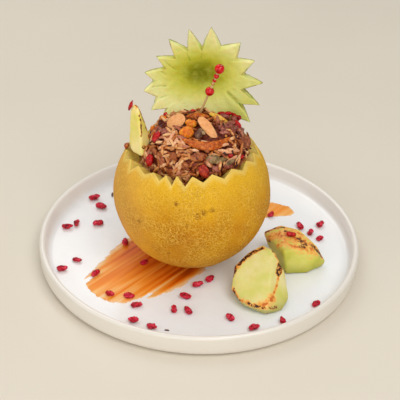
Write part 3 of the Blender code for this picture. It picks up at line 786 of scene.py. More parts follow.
def make_lid():
    centre, basis = lid_frame()
    turns, edges = edge_of("lid", centre, basis, LID_COLUMNS, 1.3)
    mesh = ball_wall("petal_lid", centre, basis, turns, edges, dish_at, LID_ROWS, LID_ROWS)
    finishes = rind_finish("lid_rind", (160, 164, 60)), petal_finish("petal_flesh", centre, basis)
    lid = put_in_scene("petal_lid", mesh, *finishes)
    run_tree(lid, bpy.data.node_groups["net_relief"])
    dents = paint_lines(lid.data, "crease", mesh_tree(lid.data), LID_CREASES)
    normals = [vert.normal.copy() for vert in lid.data.vertices]
    for vert, normal, dent in zip(lid.data.vertices, normals, dents):
        vert.co -= normal * CREASE_DEPTH * min(dent, 1.0)
    return finish_piece(lid, "melon_flesh", "lid")


make_lid()

# %% [markdown]
# ## Dried fruit, nuts and berries
# Each of these starts as a welded, subdivided copy of its plain solid, so it keeps its place and
# size. A geometry tree then wrinkles it: broad lumps, and thin creases where noise crosses its
# middle value, which is how skin folds on a drying fruit.

# %% Wrinkle tree
def wrinkle_tree():
    tree, given = start_tree("wrinkled_skin", Depth=0.5 * MM, Lump=3 * MM, Crease=1.6 * MM)
    place = add(tree, "GeometryNodeInputPosition")

    def lumps(size, detail):
        scale = calc("DIVIDE", 1.0, size)
        return add(tree, "ShaderNodeTexNoise", {"Vector": place, "Scale": scale, "Detail": detail})

    broad = calc("SUBTRACT", lumps(given["Lump"], 2.0), 0.5)
    fold = calc("ABSOLUTE", calc("SUBTRACT", lumps(given["Crease"], 1.0), 0.5))
    crease = span(fold, 0.0, 0.09, 1.0, 0.0)
    broad, crease = calc("MULTIPLY", broad, 2.2), calc("MULTIPLY", crease, 0.6)
    height = calc("SUBTRACT", broad, crease)
    height = calc("MULTIPLY", height, given["Depth"])
    return end_tree(tree, move_along_normal(given["Geometry"], height), given)


wrinkled = wrinkle_tree()
JOIN_ANGLE, FOLD_SHADE = 3.1, 0.45
LARGEST_GAP, SINK = 3 * MM, 0.1 * MM


def wrinkle(piece, finish, depth, lump=3.0, crease=1.6):
    """Runs the tree on a piece, with its sizes in millimetres."""
    sizes = dict(Depth=depth * MM, Lump=lump * MM, Crease=crease * MM)
    return run_tree(piece, wrinkled, Finish=finish, **sizes)


def fruit_finish(name, deep, middle, light, roughness, coat, glow):
    """A moist, slightly clear skin; painted shade darkens its folds and the bumps stay lighter."""
    glossy = dict(Coat_Weight=0.35 * coat, Coat_Roughness=0.14, Specular_IOR_Level=0.22)
    clear = dict(Subsurface_Weight=glow, Subsurface_Scale=2 * MM)
    material, place = start_finish(name, roughness, **glossy, **clear)
    mottle = speckle(place, 3.2 * MM, 4.0, 0.6)
    colour = ramp(mottle, (0.3, deep), (0.5, middle), (0.7, light))
    # Painted shade: the hollows of the folds are darkened.
    hollow = add(place, "ShaderNodeNewGeometry", out="Pointiness")
    dark = span(hollow, 0.5, 0.42, 0.0, 0.45)
    colour = blend(dark, colour, tuple(part * FOLD_SHADE for part in deep))
    grain = speckle(place, 1.4 * MM, 4.0, 0.65)
    return end_finish(material, colour, grain, 0.3 * MM)


def soft_copy(nodes, swell):
    """Some solids as one mesh, each grown a little about its middle."""
    joined = bmesh.new()
    for node in nodes:
        bm = copy_of(node)
        middle = sum((vert.co for vert in bm.verts), Vector()) / len(bm.verts)
        for vert in bm.verts:
            vert.co = middle + (vert.co - middle) * swell
        part = mesh_of(node, bm, False)
        joined.from_mesh(part)
        bpy.data.meshes.remove(part)
    angles = dict(angle_face_threshold=JOIN_ANGLE, angle_shape_threshold=JOIN_ANGLE)
    bmesh.ops.join_triangles(joined, faces=joined.faces, **angles)
    return mesh_of("soft", joined)


def make_wrinkled(name, slot, nodes, finish, levels, swell, *sizes):
    piece = put_in_scene(name, soft_copy(nodes, swell), fruits[finish])
    shape_with(piece, "SUBSURF", levels=levels, render_levels=levels)
    wrinkle(piece, fruits[finish], *sizes)
    return finish_piece(piece, slot, *nodes)


def let_down(piece, carrier):
    """Moves each loose part of a mesh straight down until it rests on what carries it."""
    bm = bmesh.new()
    bm.from_mesh(piece.data)
    done = set()
    for start in bm.verts:
        if start in done:
            continue
        part, waiting = [], [start]
        done.add(start)
        while waiting:
            vert = waiting.pop()
            part.append(vert)
            others = [edge.other_vert(vert) for edge in vert.link_edges]
            fresh = [other for other in others if other not in done]
            done.update(fresh)
            waiting += fresh
        gaps = [carrier.ray_cast(vert.co, Vector((0, 0, -1)), LARGEST_GAP)[3] for vert in part]
        drop = min((gap for gap in gaps if gap is not None), default=0.0)
        for vert in part:
            vert.co.z -= drop + SINK
    bm.to_mesh(piece.data)
    bm.free()


# %% Berries
# Deep, middle and light colour, roughness, coat and glow of each finish.
FRUITS = {
    "berry_red": ((92, 0, 18), (200, 8, 40), (244, 76, 108), 0.24, 0.5, 0.2),
    "berry_dark": ((96, 0, 4), (178, 10, 14), (216, 40, 36), 0.26, 0.5, 0.2),
    "tomato_red": ((104, 12, 6), (164, 36, 20), (204, 82, 46), 0.28, 0.5, 0.2),
    "orange_fruit": ((190, 84, 8), (228, 122, 16), (244, 166, 52), 0.3, 0.5, 0.4),
    "brown_fruit": ((134, 46, 2), (186, 86, 12), (222, 134, 48), 0.34, 0.45, 0.3),
    "amber_fruit": ((220, 150, 40), (242, 186, 72), (250, 208, 116), 0.35, 0.4, 0.35),
    "dark_fruit": ((58, 32, 24), (108, 70, 50), (152, 112, 86), 0.3, 0.5, 0.1),
    "nut_brown": ((104, 48, 26), (154, 84, 52), (190, 124, 88), 0.55, 0.15, 0.1),
    "almond_skin": ((218, 146, 88), (232, 164, 104), (240, 180, 122), 0.5, 0.1, 0.2),
    "pale_grain": ((192, 124, 80), (224, 162, 118), (244, 200, 162), 0.34, 0.5, 0.2),
    "seed_green": ((84, 64, 36), (128, 100, 58), (184, 150, 108), 0.3, 0.5, 0.1),
    "meat_brown": ((100, 38, 12), (152, 76, 32), (192, 120, 68), 0.4, 0.45, 0.1),
    "peel_purple": ((92, 30, 26), (148, 74, 58), (194, 122, 98), 0.3, 0.6, 0.15),
}
PLATE_BERRIES = [f"barberry_{index:02d}" for index in range(1, 30)]
HEAP_BERRIES = [f"barberry_{place}" for place in ("left", "right", "rim", "tip", "wedge")]
RAISINS = ("raisin_front", "raisin_back")
STRIPS = ("apricot_brown", "apricot_long", "apricot_left")
ALMONDS = ("almond_round", "almond_long")
# Slot, solids, finish, fineness, swell, then depth, lumps and creases of the wrinkles.
WRINKLED = {
    "plate_berries": ("barberry", PLATE_BERRIES, "berry_red", 3, 1.1, 1.2, 4.0, 2.2),
    "heap_berries": ("barberry", HEAP_BERRIES, "berry_dark", 3, 1.1, 0.7),
    "dried_tomato": ("barberry", ["tomato_front"], "tomato_red", 4, 1.05, 0.6, 4.0),
    "orange_raisins": ("dried_fruit", RAISINS, "orange_fruit", 4, 1.06, 0.7, 4.0),
    "dark_raisin": ("dark_fruit", ["raisin_dark"], "dark_fruit", 4, 1.05, 0.6),
    "apricot_strips": ("dried_fruit", STRIPS, "brown_fruit", 4, 1.04, 0.5),
    "yellow_fruit": ("dried_fruit", ["fruit_yellow"], "amber_fruit", 4, 1.04, 0.4),
    "walnut_piece": ("walnut", ["walnut_right"], "nut_brown", 4, 1.04, 1.1, 4.0, 3.0),
    "almond_flakes": ("almond", ALMONDS, "almond_skin", 4, 1.04, 0.12),
}
fruits = {name: fruit_finish(name, *look) for name, look in FRUITS.items()}
toppings = {name: make_wrinkled(name, *how) for name, how in WRINKLED.items()}
let_down(toppings["plate_berries"], mesh_tree(plate.data))
heap_ground = touch_tree("filling", "wedge_back", "wedge_standing", "melon_shell")
let_down(toppings["heap_berries"], heap_ground)

# %% [markdown]
# ## Grilled wedges
# Three chunks of the same melon: two lie on the plate with charred edges, one stands in the heap.
# Each is its plain solid, remeshed fine. How charred and how toasted a point is goes into two
# attributes of the mesh, measured as the distance to lines drawn over the surface; the finish
# breaks them up with noise, fine for char and broad for the golden toast.

# %% Wedge helpers
WEDGE_VOXEL = 0.8 * MM
WEDGE_DENT, DENT_SIZE, CHAR_DENT = 0.3, 6 * MM, 0.35


def wedge_finish(name, pale, middle, deep):
    juicy = dict(Subsurface_Weight=0.35, Subsurface_Scale=4 * MM, Coat_Weight=0.12)
    material, place = start_finish(name, 0.36, Specular_IOR_Level=0.3, **juicy)
    cloud = speckle(place, 14 * MM, 3.0)
    flesh = ramp(cloud, (0.3, deep), (0.5, middle), (0.72, pale))
    # Painted shade: the flesh turns darker olive towards the plate, where the wedge turns under.
    height = part_of(place, "Z")
    flesh = blend(span(height, 17 * MM, 5 * MM, 0.0, 0.7), flesh, (158, 158, 40))
    toast = stored(place, "toast")
    patchy = span(speckle(place, 4 * MM, 4.0, 0.7), 0.34, 0.66, 0.5, 1.2)
    toast = calc("MULTIPLY", patchy, toast)
    golden = ramp(toast, (0.2, (240, 206, 112)), (0.6, (238, 168, 74)), (1.1, (204, 108, 38)))
    colour = blend(span(toast, 0.12, 0.5), flesh, golden)
    burnt = stored(place, "burnt")
    crumbly = span(speckle(place, 1.9 * MM, 3.0, 0.7), 0.38, 0.6, 0.1, 1.5)
    burnt = calc("MULTIPLY", crumbly, burnt)
    cooked = ramp(
        burnt, (0.1, (226, 176, 74)), (0.34, (196, 112, 30)), (0.55, (104, 46, 14)),
        (0.85, (40, 18, 8))
    )
    colour = blend(span(burnt, 0.1, 0.34), colour, cooked)
    fibre = speckle(place, 1.5 * MM, 4.0, 0.6)
    height = calc("MULTIPLY_ADD", span(burnt, 0.3, 0.8), 0.8, fibre)
    return end_finish(material, colour, height, 0.35 * MM)


def make_wedge(name, node, slot, finish, chars, toasts):
    """A wedge with charred lines and toasted ones around them."""
    solid = touch_tree(node)
    piece = put_in_scene(name, mesh_of(name, copy_of(node)), finish)
    shape_with(piece, "REMESH", mode="VOXEL", voxel_size=WEDGE_VOXEL, use_smooth_shade=True)
    shape_with(piece, "SMOOTH", factor=0.5, iterations=3)
    mesh = bake(piece).data
    burnt = paint_lines(mesh, "burnt", solid, chars)
    paint_lines(mesh, "toast", solid, toasts)
    normals = [vert.normal.copy() for vert in mesh.vertices]
    for vert, normal, char in zip(mesh.vertices, normals, burnt):
        dent = WEDGE_DENT * noise.noise(vert.co / DENT_SIZE)
        vert.co += normal * (dent - CHAR_DENT * char) * MM
    mesh.shade_smooth()
    return finish_piece(piece, slot, node)


# %% The three wedges
FRONT_CHARS = (
    (1.1, 1.9, ((262, 248), (253, 252), (246, 257), (240, 262.5), (235.5, 268), (233.5, 275))),
    (1.0, 1.5, ((233.5, 289), (234.5, 294), (239.5, 300.5))),
    (0.9, 1.5, ((248, 303.5), (256, 306.5), (264, 308))),
    (0.9, 1.5, ((270, 308), (277, 307))),
    (0.9, 1.3, ((273, 250.5), (273.6, 251.5))),
    (1.3, 2.9, ((281, 264), (280, 268), (278.5, 273))),
)
FRONT_TOASTS = (
    (1.0, 3.4, ((262, 248), (253, 252), (246, 257), (240, 262.5), (235.5, 268), (233, 276))),
    (1.0, 1.7, ((273.4, 250), (276, 256), (280, 263))),
    (1.1, 4.2, ((282, 262), (280, 268), (278, 274))),
    (1.1, 1.7, ((279, 271), (277, 285), (273, 297), (268.5, 306))),
    (1.0, 5.4, ((272, 298), (268, 303), (261, 306))),
    (0.9, 3.0, ((233, 289), (239, 300), (250, 304), (264, 307))),
)
BACK_CHARS = (
    (0.9, 1.6, ((266, 232), (274, 228.5), (284, 227.5))),
    (0.7, 2.2, ((286, 231), (294, 233))),
    (0.7, 3.6, ((299, 239), (305, 244), (302, 247))),
    (1.1, 2.4, ((313, 246), (318, 251), (322.5, 256))),
    (0.6, 1.4, ((267, 240), (270, 242))),
)
BACK_TOASTS = (
    (1.0, 11.0, ((282, 233), (293, 236), (302, 242), (312, 248))),
    (0.9, 7.0, ((281, 243), (295, 247), (306, 249))),
    (0.9, 8.0, ((270, 236), (276, 236), (284, 238))),
    (0.9, 4.0, ((265, 232), (275, 228), (287, 227), (296, 232), (309, 240))),
    (1.0, 4.0, ((313, 246), (323, 256))),
)
STANDING_CHARS = (
    (1.2, 1.5, ((136.5, 105), (140.5, 112), (144.5, 121.5))),
    (0.8, 1.1, ((139.5, 116), (141, 122), (141.5, 130), (141.5, 136))),
    (1.0, 1.7, ((143.5, 147), (146, 149))),
    (0.7, 1.0, ((146, 127), (149, 137))),
)
STANDING_TOASTS = (
    (1.0, 3.0, ((136.5, 105), (140.5, 112), (145, 122), (149, 137))),
    (0.6, 2.4, ((144, 146), (150, 148))),
)
# Name of each finish, with its pale, middle and deep colour.
FRONT_LOOK = ("grilled_flesh", (230, 218, 156), (222, 212, 130), (210, 206, 100))
BACK_LOOK = ("grilled_deep", (222, 216, 118), (212, 206, 92), (196, 194, 66))
STANDING_LOOK = ("standing_flesh", (244, 228, 168), (238, 222, 136), (226, 214, 100))
WEDGES = (
    ("grilled_wedge_front", "wedge_front", "grilled_flesh", FRONT_LOOK, FRONT_CHARS, FRONT_TOASTS),
    ("grilled_wedge_back", "wedge_back", "grilled_flesh", BACK_LOOK, BACK_CHARS, BACK_TOASTS),
    ("wedge_in_heap", "wedge_standing", "melon_flesh", STANDING_LOOK, STANDING_CHARS,
     STANDING_TOASTS),
)
for name, node, slot, look, chars, toasts in WEDGES:
    make_wedge(name, node, slot, wedge_finish(*look), chars, toasts)

# %% [markdown]
# ## Filling
# Under everything lies a dark, sauce-soaked core, which is the plain solid remeshed and roughened.
# Over it come bits laid one by one, and then the real grains: a tree scatters them on the core
# wherever nothing bigger lies. Each is turned about the surface's normal, leaned a little and
# sized at random, with a fixed seed.

# %% Core
CORE_VOXEL = 1.3 * MM
HEAP_START = 96 * MM
# How far grains keep from the pieces they touch, from those that lie deep in them, and from bits.
ROOM, DEEP_ROOM, BIT_ROOM = 2.0 * MM, 4.8 * MM, 0.9 * MM
big_pieces = touch_tree(
    "apricot_long", "raisin_front", "raisin_back", "raisin_dark", "walnut_right", "tomato_front",
    "lid", "wedge_standing", "barberry_left", "barberry_right", "barberry_rim", "pick_stick",
    "melon_shell",
)
deep_pieces = touch_tree(
    "fruit_yellow", "apricot_brown", "apricot_left", "almond_round", "almond_long"
)


def sauce_core_finish():
    material, place = start_finish("soaked_core", 0.45, Specular_IOR_Level=0.2)
    mottle = speckle(place, 3 * MM, 5.0, 0.65)
    colour = ramp(mottle, (0.3, (52, 8, 4)), (0.5, (92, 28, 12)), (0.72, (140, 66, 34)))
    return end_finish(material, colour, speckle(place, 1.2 * MM, 5.0, 0.7), 0.6 * MM)


def make_core():
    finish = sauce_core_finish()
    core = put_in_scene("filling_core", mesh_of("filling_core", copy_of("filling")), finish)
    shape_with(core, "REMESH", mode="VOXEL", voxel_size=CORE_VOXEL)
    return wrinkle(core, finish, 0.5, 4.0, 2.0)


core = make_core()

# %% [markdown]
# Some things in the heap are big enough to be told apart: seeds, meat, peel and single long grains.
# Each kind is one piece, whose members are listed one by one. An entry names where its two ends are
# seen and how wide and thick it is; its ends are then dropped on the core along those sights.

# %% Laid bits
BIT_SEGMENTS, BIT_RINGS = 12, 8
BIT_WOBBLE, WOBBLE_FINE, WOBBLE_SHIFT = 0.5, 4, 3.1
heap_tree = mesh_tree(core.data)


def lay_bits(ground, name, slot, finish, lift, bits, *sizes):
    """Bits of one kind as one mesh; each names its two ends, its width and its thickness."""
    joined = bmesh.new()
    for index, bit in enumerate(bits):
        (start, start_up), (end, end_up) = seen_on(ground, *bit[:2]), seen_on(ground, *bit[2:4])
        width, thickness = bit[4:]
        along = (end - start).normalized()
        up = start_up + end_up
        up = (up - along * up.dot(along)).normalized()
        middle = (start + end) / 2 + up * lift * MM
        basis = Matrix((along, up.cross(along), up)).transposed().to_4x4()
        size = ((end - start).length, width * MM, thickness * MM)
        detail = dict(u_segments=BIT_SEGMENTS, v_segments=BIT_RINGS)
        for vert in bmesh.ops.create_uvsphere(joined, radius=0.5, **detail)["verts"]:
            x, y, z = vert.co.z, vert.co.x, vert.co.y
            spot = vert.co * WOBBLE_FINE + Vector((index * WOBBLE_SHIFT, 0, 0))
            wobble = 1 + BIT_WOBBLE * noise.noise(spot)
            local = Vector((x * size[0], y * size[1] * wobble, z * size[2] * wobble))
            vert.co = Matrix.Translation(middle) @ basis @ local
    piece = put_in_scene(name, mesh_of(name, joined), fruits[finish])
    shape_with(piece, "SUBSURF", levels=1, render_levels=1)
    wrinkle(piece, fruits[finish], *sizes)
    return finish_piece(piece, slot)


PALE_GRAINS = (
    (168, 146, 177, 132, 3.0, 2.6), (172, 151, 180, 137, 3.0, 2.6), (165, 139, 172, 147, 2.8, 2.4),
    (173, 176, 180, 161, 3.2, 2.6), (178, 174, 183, 163, 3.0, 2.4), (180, 139, 187, 151, 3.0, 2.6),
    (142, 160, 146, 170, 3.2, 2.6), (186, 180, 191, 171, 2.8, 2.4), (175, 141, 183, 147, 2.8, 2.4),
    (160, 150, 167, 146, 2.8, 2.4), (223.6, 163.9, 235.5, 155.6, 3.4, 2.6),
    (190, 152, 199, 153, 3.2, 2.6), (216, 152, 231, 154.5, 4.2, 2.6),
    (224, 149, 238, 150.5, 3.4, 2.4), (219, 147.5, 228, 146, 3.0, 2.4),
    (161, 167, 169, 163, 2.8, 2.4), (205, 162, 211, 167, 2.8, 2.4),
)
SEEDS = (
    (205, 159, 220, 160, 8.0, 4.0), (213, 163.5, 226, 158, 5.0, 3.4),
    (199, 131, 204, 137, 5.5, 4.0), (224, 164.5, 233, 158.5, 4.0, 3.0),
)
MEAT = (
    (189, 158, 207, 157, 7.5, 6.0), (160, 151, 166, 170, 10.5, 6.5), (171, 153, 178, 160, 6.5, 5.0),
    (242, 137, 250, 146, 7.0, 6.0), (236, 141, 242, 148, 6.0, 5.0), (152, 146, 158, 156, 6.0, 5.0),
    (183, 161, 190, 170, 6.0, 5.0), (201, 146, 209, 153, 6.0, 4.5), (168, 166, 174, 174, 6.0, 4.5),
    (221, 168, 228, 172, 5.5, 4.5),
)
PEEL = (
    (158, 130, 167, 136, 6.0, 4.5), (162, 137, 169, 129, 5.0, 4.0), (218, 131, 231, 126, 8.0, 6.5),
    (229, 131, 241, 127, 8.0, 6.5), (223, 127, 234, 123, 6.0, 5.0), (236, 134, 243, 130, 6.0, 5.0),
    (231, 121, 242, 119, 7.5, 7.5), (219, 118, 230, 116, 5.0, 5.5), (219, 135, 230, 133, 5.0, 4.0),
    (210, 165, 220, 171, 5.5, 4.0), (222, 166, 232, 164, 5.0, 4.0), (155, 141, 161, 146, 5.0, 4.0),
)
RED_PEEL = (
    (190, 110.5, 195, 113.5, 4.0, 3.6), (162, 111, 168, 116, 4.6, 4.0),
    (237, 143, 240, 139, 4.0, 3.4), (238, 158, 242, 155, 3.6, 3.2),
    (228, 158, 232, 156.5, 3.4, 3.0),
)
CURLED_PEEL = (
    (217, 111, 225, 114, 4.2, 3.6), (224, 114, 233, 115, 4.2, 3.6), (232, 117, 239, 113, 5.5, 4.4),
    (238, 113, 245, 121, 5.5, 4.4),
)
GOLD_PEEL = (
    (160, 117, 166, 121, 5.0, 4.0), (147, 121, 155, 130, 6.0, 4.4), (186, 126, 191, 122, 5.0, 4.4),
)
RIM_BITS = ((123, 139, 126, 146, 4.4, 4.0),)
DARK_CRUMBS = (
    (112.6, 192.5, 112.2, 197.5, 2.2, 1.4), (164.5, 330.2, 169.5, 330.8, 2.0, 1.2),
)
# Name, slot, finish, height over the core, bits, then depth, lumps and creases of the wrinkles.
BIT_KINDS = (
    ("pale_grains", "rice_filling", "pale_grain", 2.6, PALE_GRAINS, 0.25),
    ("seeds", "rice_filling", "seed_green", 2.4, SEEDS, 0.4),
    ("meat_lumps", "rice_filling", "meat_brown", 1.8, MEAT, 1.2, 3.0, 2.4),
    ("purple_peel", "rice_filling", "peel_purple", 2.0, PEEL, 1.3, 3.0, 2.4),
    ("red_peel", "barberry", "berry_dark", 1.8, RED_PEEL, 0.9),
    ("gold_peel", "dried_fruit", "orange_fruit", 2.0, GOLD_PEEL, 0.8),
)
CURL = ("curled_peel", "barberry", "berry_dark", 1.2, CURLED_PEEL, 1.0)
ON_RIM = ("rim_bit", "dried_fruit", "brown_fruit", 1.2, RIM_BITS, 0.8)
ON_PLATE = ("dark_crumbs", "dark_fruit", "dark_fruit", 0.3, DARK_CRUMBS, 0.3)
bits = {kind[0]: lay_bits(heap_tree, *kind) for kind in BIT_KINDS}
on_peel = mesh_tree(core.data, bits["purple_peel"].data)
bits["curled_peel"] = lay_bits(on_peel, *CURL)
lay_bits(mesh_tree(shell.data), *ON_RIM)
lay_bits(mesh_tree(plate.data), *ON_PLATE)


def mark_bare():
    """Grains may lie where the core is above the rim and clear of everything bigger."""
    laid = mesh_tree(*[piece.data for piece in bits.values()])
    rooms = ((big_pieces, ROOM), (deep_pieces, DEEP_ROOM), (laid, BIT_ROOM))
    bare = core.data.attributes.new("bare", "FLOAT", "POINT")
    for vert, mark in zip(core.data.vertices, bare.data):
        clear = all(tree.find_nearest(vert.co)[3] > room for tree, room in rooms)
        mark.value = float(vert.co.z > HEAP_START and clear)
    return sum(mark.value for mark in bare.data) / len(bare.data)


print("share of the core for grains:", round(mark_bare(), 2))

# %% [markdown]
# Then come the grains. They differ in length, lean and tone, and lie in two layers: a dense one
# pressed into the core, and a sparse one that stands out of it and breaks the outline.

# %% Grain shapes
GRAIN_SEGMENTS, GRAIN_RINGS = 6, 5
CLOSEST_GRAINS = 1.2 * MM


def kernel(name, length, width, thickness, taper, crease, bend):
    """A small long body in millimetres: its ends narrow, with a crease along one side."""
    length, width, thickness, bend = length * MM, width * MM, thickness * MM, bend * MM
    bm = bmesh.new()
    bmesh.ops.create_uvsphere(bm, u_segments=GRAIN_SEGMENTS, v_segments=GRAIN_RINGS, radius=1)
    bmesh.ops.rotate(bm, verts=bm.verts, matrix=Matrix.Rotation(math.pi / 2, 3, "Y"))
    for vert in bm.verts:
        x, y, z = vert.co
        narrow = 1 - taper * (x + 1) / 2
        groove = 1 - crease * max(0.0, z) * (1 - min(1, abs(y) * 3))
        vert.co = (
            x * length / 2,
            y * width / 2 * narrow + bend * (1 - x * x),
            z * thickness / 2 * narrow * groove,
        )
    mesh = mesh_of(name, bm)
    obj = bpy.data.objects.new(name, mesh)
    bpy.context.scene.collection.objects.link(obj)
    mesh.shade_smooth()
    return obj


def scatter_tree(name, grain):
    """Grains on the bare parts of a surface."""
    tree, given = start_tree(
        name, Spacing=2 * MM, Lean=0.3, Lift=0.4 * MM, Smallest=0.8, Largest=1.2, Seed=1
    )
    bare = add(tree, "GeometryNodeInputNamedAttribute", {"Name": "bare"}, data_type="FLOAT")
    spots = add(
        tree,
        "GeometryNodeDistributePointsOnFaces",
        {
            "Mesh": given["Geometry"],
            "Distance Min": given["Spacing"],
            "Density Max": 1 / CLOSEST_GRAINS**2,
            "Density Factor": bare,
            "Seed": given["Seed"],
        },
        distribute_method="POISSON",
    ).node

    def draw(kind, out, limits):
        """A random value for each grain; its limits are given by the node's own inputs."""
        sockets = {**limits, "Seed": given["Seed"]}
        return add(tree, "FunctionNodeRandomValue", sockets, out, data_type=kind)

    back = calc("MULTIPLY", given["Lean"], -1.0)
    low = add(tree, "ShaderNodeCombineXYZ", {"X": back, "Y": back})
    high = {"X": given["Lean"], "Y": given["Lean"], "Z": math.tau}
    high = add(tree, "ShaderNodeCombineXYZ", high)
    turn = {0: draw("FLOAT_VECTOR", 0, {0: low, 1: high})}
    turn = add(tree, "FunctionNodeEulerToRotation", turn)
    facing = {"Rotation": spots.outputs["Rotation"], "Rotate By": turn}
    facing = add(tree, "FunctionNodeRotateRotation", facing, rotation_space="LOCAL")
    size = draw("FLOAT", 1, {2: given["Smallest"], 3: given["Largest"]})
    lift = vector("SCALE", spots.outputs["Normal"], given["Lift"])
    raised = {"Geometry": spots.outputs["Points"], "Offset": lift}
    raised = add(tree, "GeometryNodeSetPosition", raised)
    toned = {"Geometry": raised, "Name": "tone", "Value": draw("FLOAT", 1, {})}
    toned = add(tree, "GeometryNodeStoreNamedAttribute", toned)
    shape = add(tree, "GeometryNodeObjectInfo", {"Object": grain}, "Geometry")
    placed = add(
        tree,
        "GeometryNodeInstanceOnPoints",
        {"Points": toned, "Instance": shape, "Rotation": facing, "Scale": size},
    )
    return end_tree(tree, placed, given)


def rice_finish(name, *tones):
    """Moist grains, each with its own tone between dark and pale, and browner patches over all."""
    moist = dict(Coat_Weight=0.16, Coat_Roughness=0.14, Subsurface_Weight=0.1)
    material, place = start_finish(name, 0.36, Specular_IOR_Level=0.25, **moist)
    own = stored(place, "tone")
    patch = calc("SUBTRACT", speckle(place, 9 * MM, 3.0, 0.6), 0.5)
    tone = calc("MULTIPLY_ADD", patch, 1.9, own)
    side = part_of(place, "X")
    tone = calc("ADD", tone, span(side, 5 * MM, -35 * MM, -0.08, 0.22))
    streak = calc("SUBTRACT", speckle(place, 1.6 * MM, 3.0, 0.7), 0.5)
    tone = calc("MULTIPLY_ADD", streak, 0.7, tone)
    stops = [(0.95 * index / (len(tones) - 1), colour) for index, colour in enumerate(tones)]
    colour = ramp(tone, *stops)
    return end_finish(material, colour, speckle(place, 0.7 * MM, 3.0, 0.6), 0.2 * MM)


def scatter(name, grain, finish, spacing, lean, lift, seed):
    """One kind of grain over the heap, as one plain mesh."""
    base = put_in_scene(name, core.data.copy(), finish)
    sizes = dict(Spacing=spacing * MM, Lean=lean, Lift=lift * MM, Seed=seed)
    run_tree(base, scatter_tree(name + "_tree", grain), Finish=finish, **sizes)
    return finish_piece(base, "rice_filling")


# %% Scatter the rice
RICE_TONES = (64, 12, 2), (136, 58, 14), (188, 100, 40), (216, 136, 72), (238, 180, 124)
SHRED_TONES = (56, 6, 2), (106, 28, 14), (150, 68, 44), (190, 114, 84)
CRUMB_TONES = (70, 18, 2), (124, 48, 14), (168, 88, 36), (202, 130, 74)
rice = kernel("rice_kernel", 8.4, 2.8, 2.4, 0.25, 0.25, 0.3)
shred = kernel("onion_shred", 10, 3.4, 1.1, 0.1, 0.5, 1.4)
crumb = kernel("meat_crumb", 5.4, 4.4, 3.6, 0.2, 0.5, 0.0)
rice_brown = rice_finish("rice_brown", *RICE_TONES)
# Name, grain, finish, spacing, lean, height over the core and seed of each layer.
LAYERS = (
    ("rice_low", rice, rice_brown, 3.3, 0.22, 0.6, 3),
    ("rice_high", rice, rice_brown, 5.6, 0.36, 2.2, 8),
    ("onion_shreds", shred, rice_finish("shred_purple", *SHRED_TONES), 6.5, 0.6, 1.6, 5),
    ("meat_crumbs", crumb, rice_finish("crumb_brown", *CRUMB_TONES), 7.5, 0.6, 1.1, 12),
)
for layer in LAYERS:
    scatter(*layer)
for helper in (rice, shred, crumb):
    bpy.data.objects.remove(helper, do_unlink=True)
finish_piece(core, "rice_filling", "filling")

# %% [markdown]
# ## Sauce
# Before the melon was set down, a thick brush was pulled across the plate with orange sauce. It is
# a very thin body: a grid along the stroke whose height is streaky noise, cut off where it is dry.

# %% Sauce smear
SMEAR_TURN = math.radians(50)
# Along the stroke: place, middle across it and half width, in millimetres from the plate's middle.
SMEAR_OUTLINE = (
    (-112, 14, 0), (-110, 14, 14), (-103, 16, 25), (-88, 14, 32), (-69, 12, 38), (-53, 12, 41),
    (-38, 12, 43), (0, 0, 26), (60, -4, 14), (75, -5, 12), (85, -9, 16), (94, -14, 19),
    (101, -19, 14), (104, -21, 5), (106, -21, 0),
)
SMEAR_REACH = 46 * MM
SMEAR_STEP = 1.1 * MM
SMEAR_DEPTH = 0.7 * MM
SMEAR_HALF, SMEAR_SPARE = 115 * MM, 1.3
DRY_SHARE = 0.03
# Where along the stroke the sauce by the melon is deepest and how far that reaches; it also gives
# the melon's painted shadow.
MELON_ALONG, MELON_REACH = -38 * MM, 70 * MM
BEFORE_MELON, BEHIND_MELON = (0.24, 0.55), (0.42, 0.3)
SKIRT = 0.1 * MM


def sauce_finish():
    material, place = start_finish(
        "orange_sauce", 0.34, Specular_IOR_Level=0.2, Coat_Weight=0.08, Subsurface_Weight=0.1
    )
    thick_and_shadow = stored(place, "thick_and_shadow")
    # The colour darkens with thickness; by the melon part of that is painted shadow.
    colour = ramp(
        thick_and_shadow, (0.0, (250, 214, 176)), (0.2, (248, 188, 112)), (0.45, (242, 148, 46)),
        (0.75, (226, 106, 8)), (1.0, (176, 64, 2))
    )
    return end_finish(material, colour, speckle(place, 1.2 * MM), 0.15 * MM)


def smear_height(along, across):
    """Thickness share, which also darkens the colour: deepest by the melon, where it is partly a
    pool and partly painted shadow of the melon; streaked by the bristles, ragged at the ends.
    """
    marks, middles, halves = (np.array(column) * MM for column in zip(*SMEAR_OUTLINE))
    half = np.interp(along, marks, halves, 0, 0)
    if half <= 0:
        return 0.0
    off = abs(across - np.interp(along, marks, middles)) / half
    off += 0.12 * noise.noise(Vector((along / (14 * MM), across / (5 * MM), 1)))
    streak = noise.noise(Vector((along / (70 * MM), across / (4.5 * MM), 3)))
    streak += 0.5 * noise.noise(Vector((along / (90 * MM), across / (1.6 * MM), 7)))
    # Painted shadow of the melon, together with a thicker pool under it.
    melon_pool_and_shadow = max(0.0, 1 - abs(along - MELON_ALONG) / MELON_REACH)
    body, bristles = BEFORE_MELON if along < 0 else BEHIND_MELON
    thinner = 1 - 0.45 * min(1.0, off) ** 2
    wet = min(1.0, max(0.0, (1 - off) * 5))
    return (thinner * (body + 0.6 * melon_pool_and_shadow) + bristles * streak) * wet


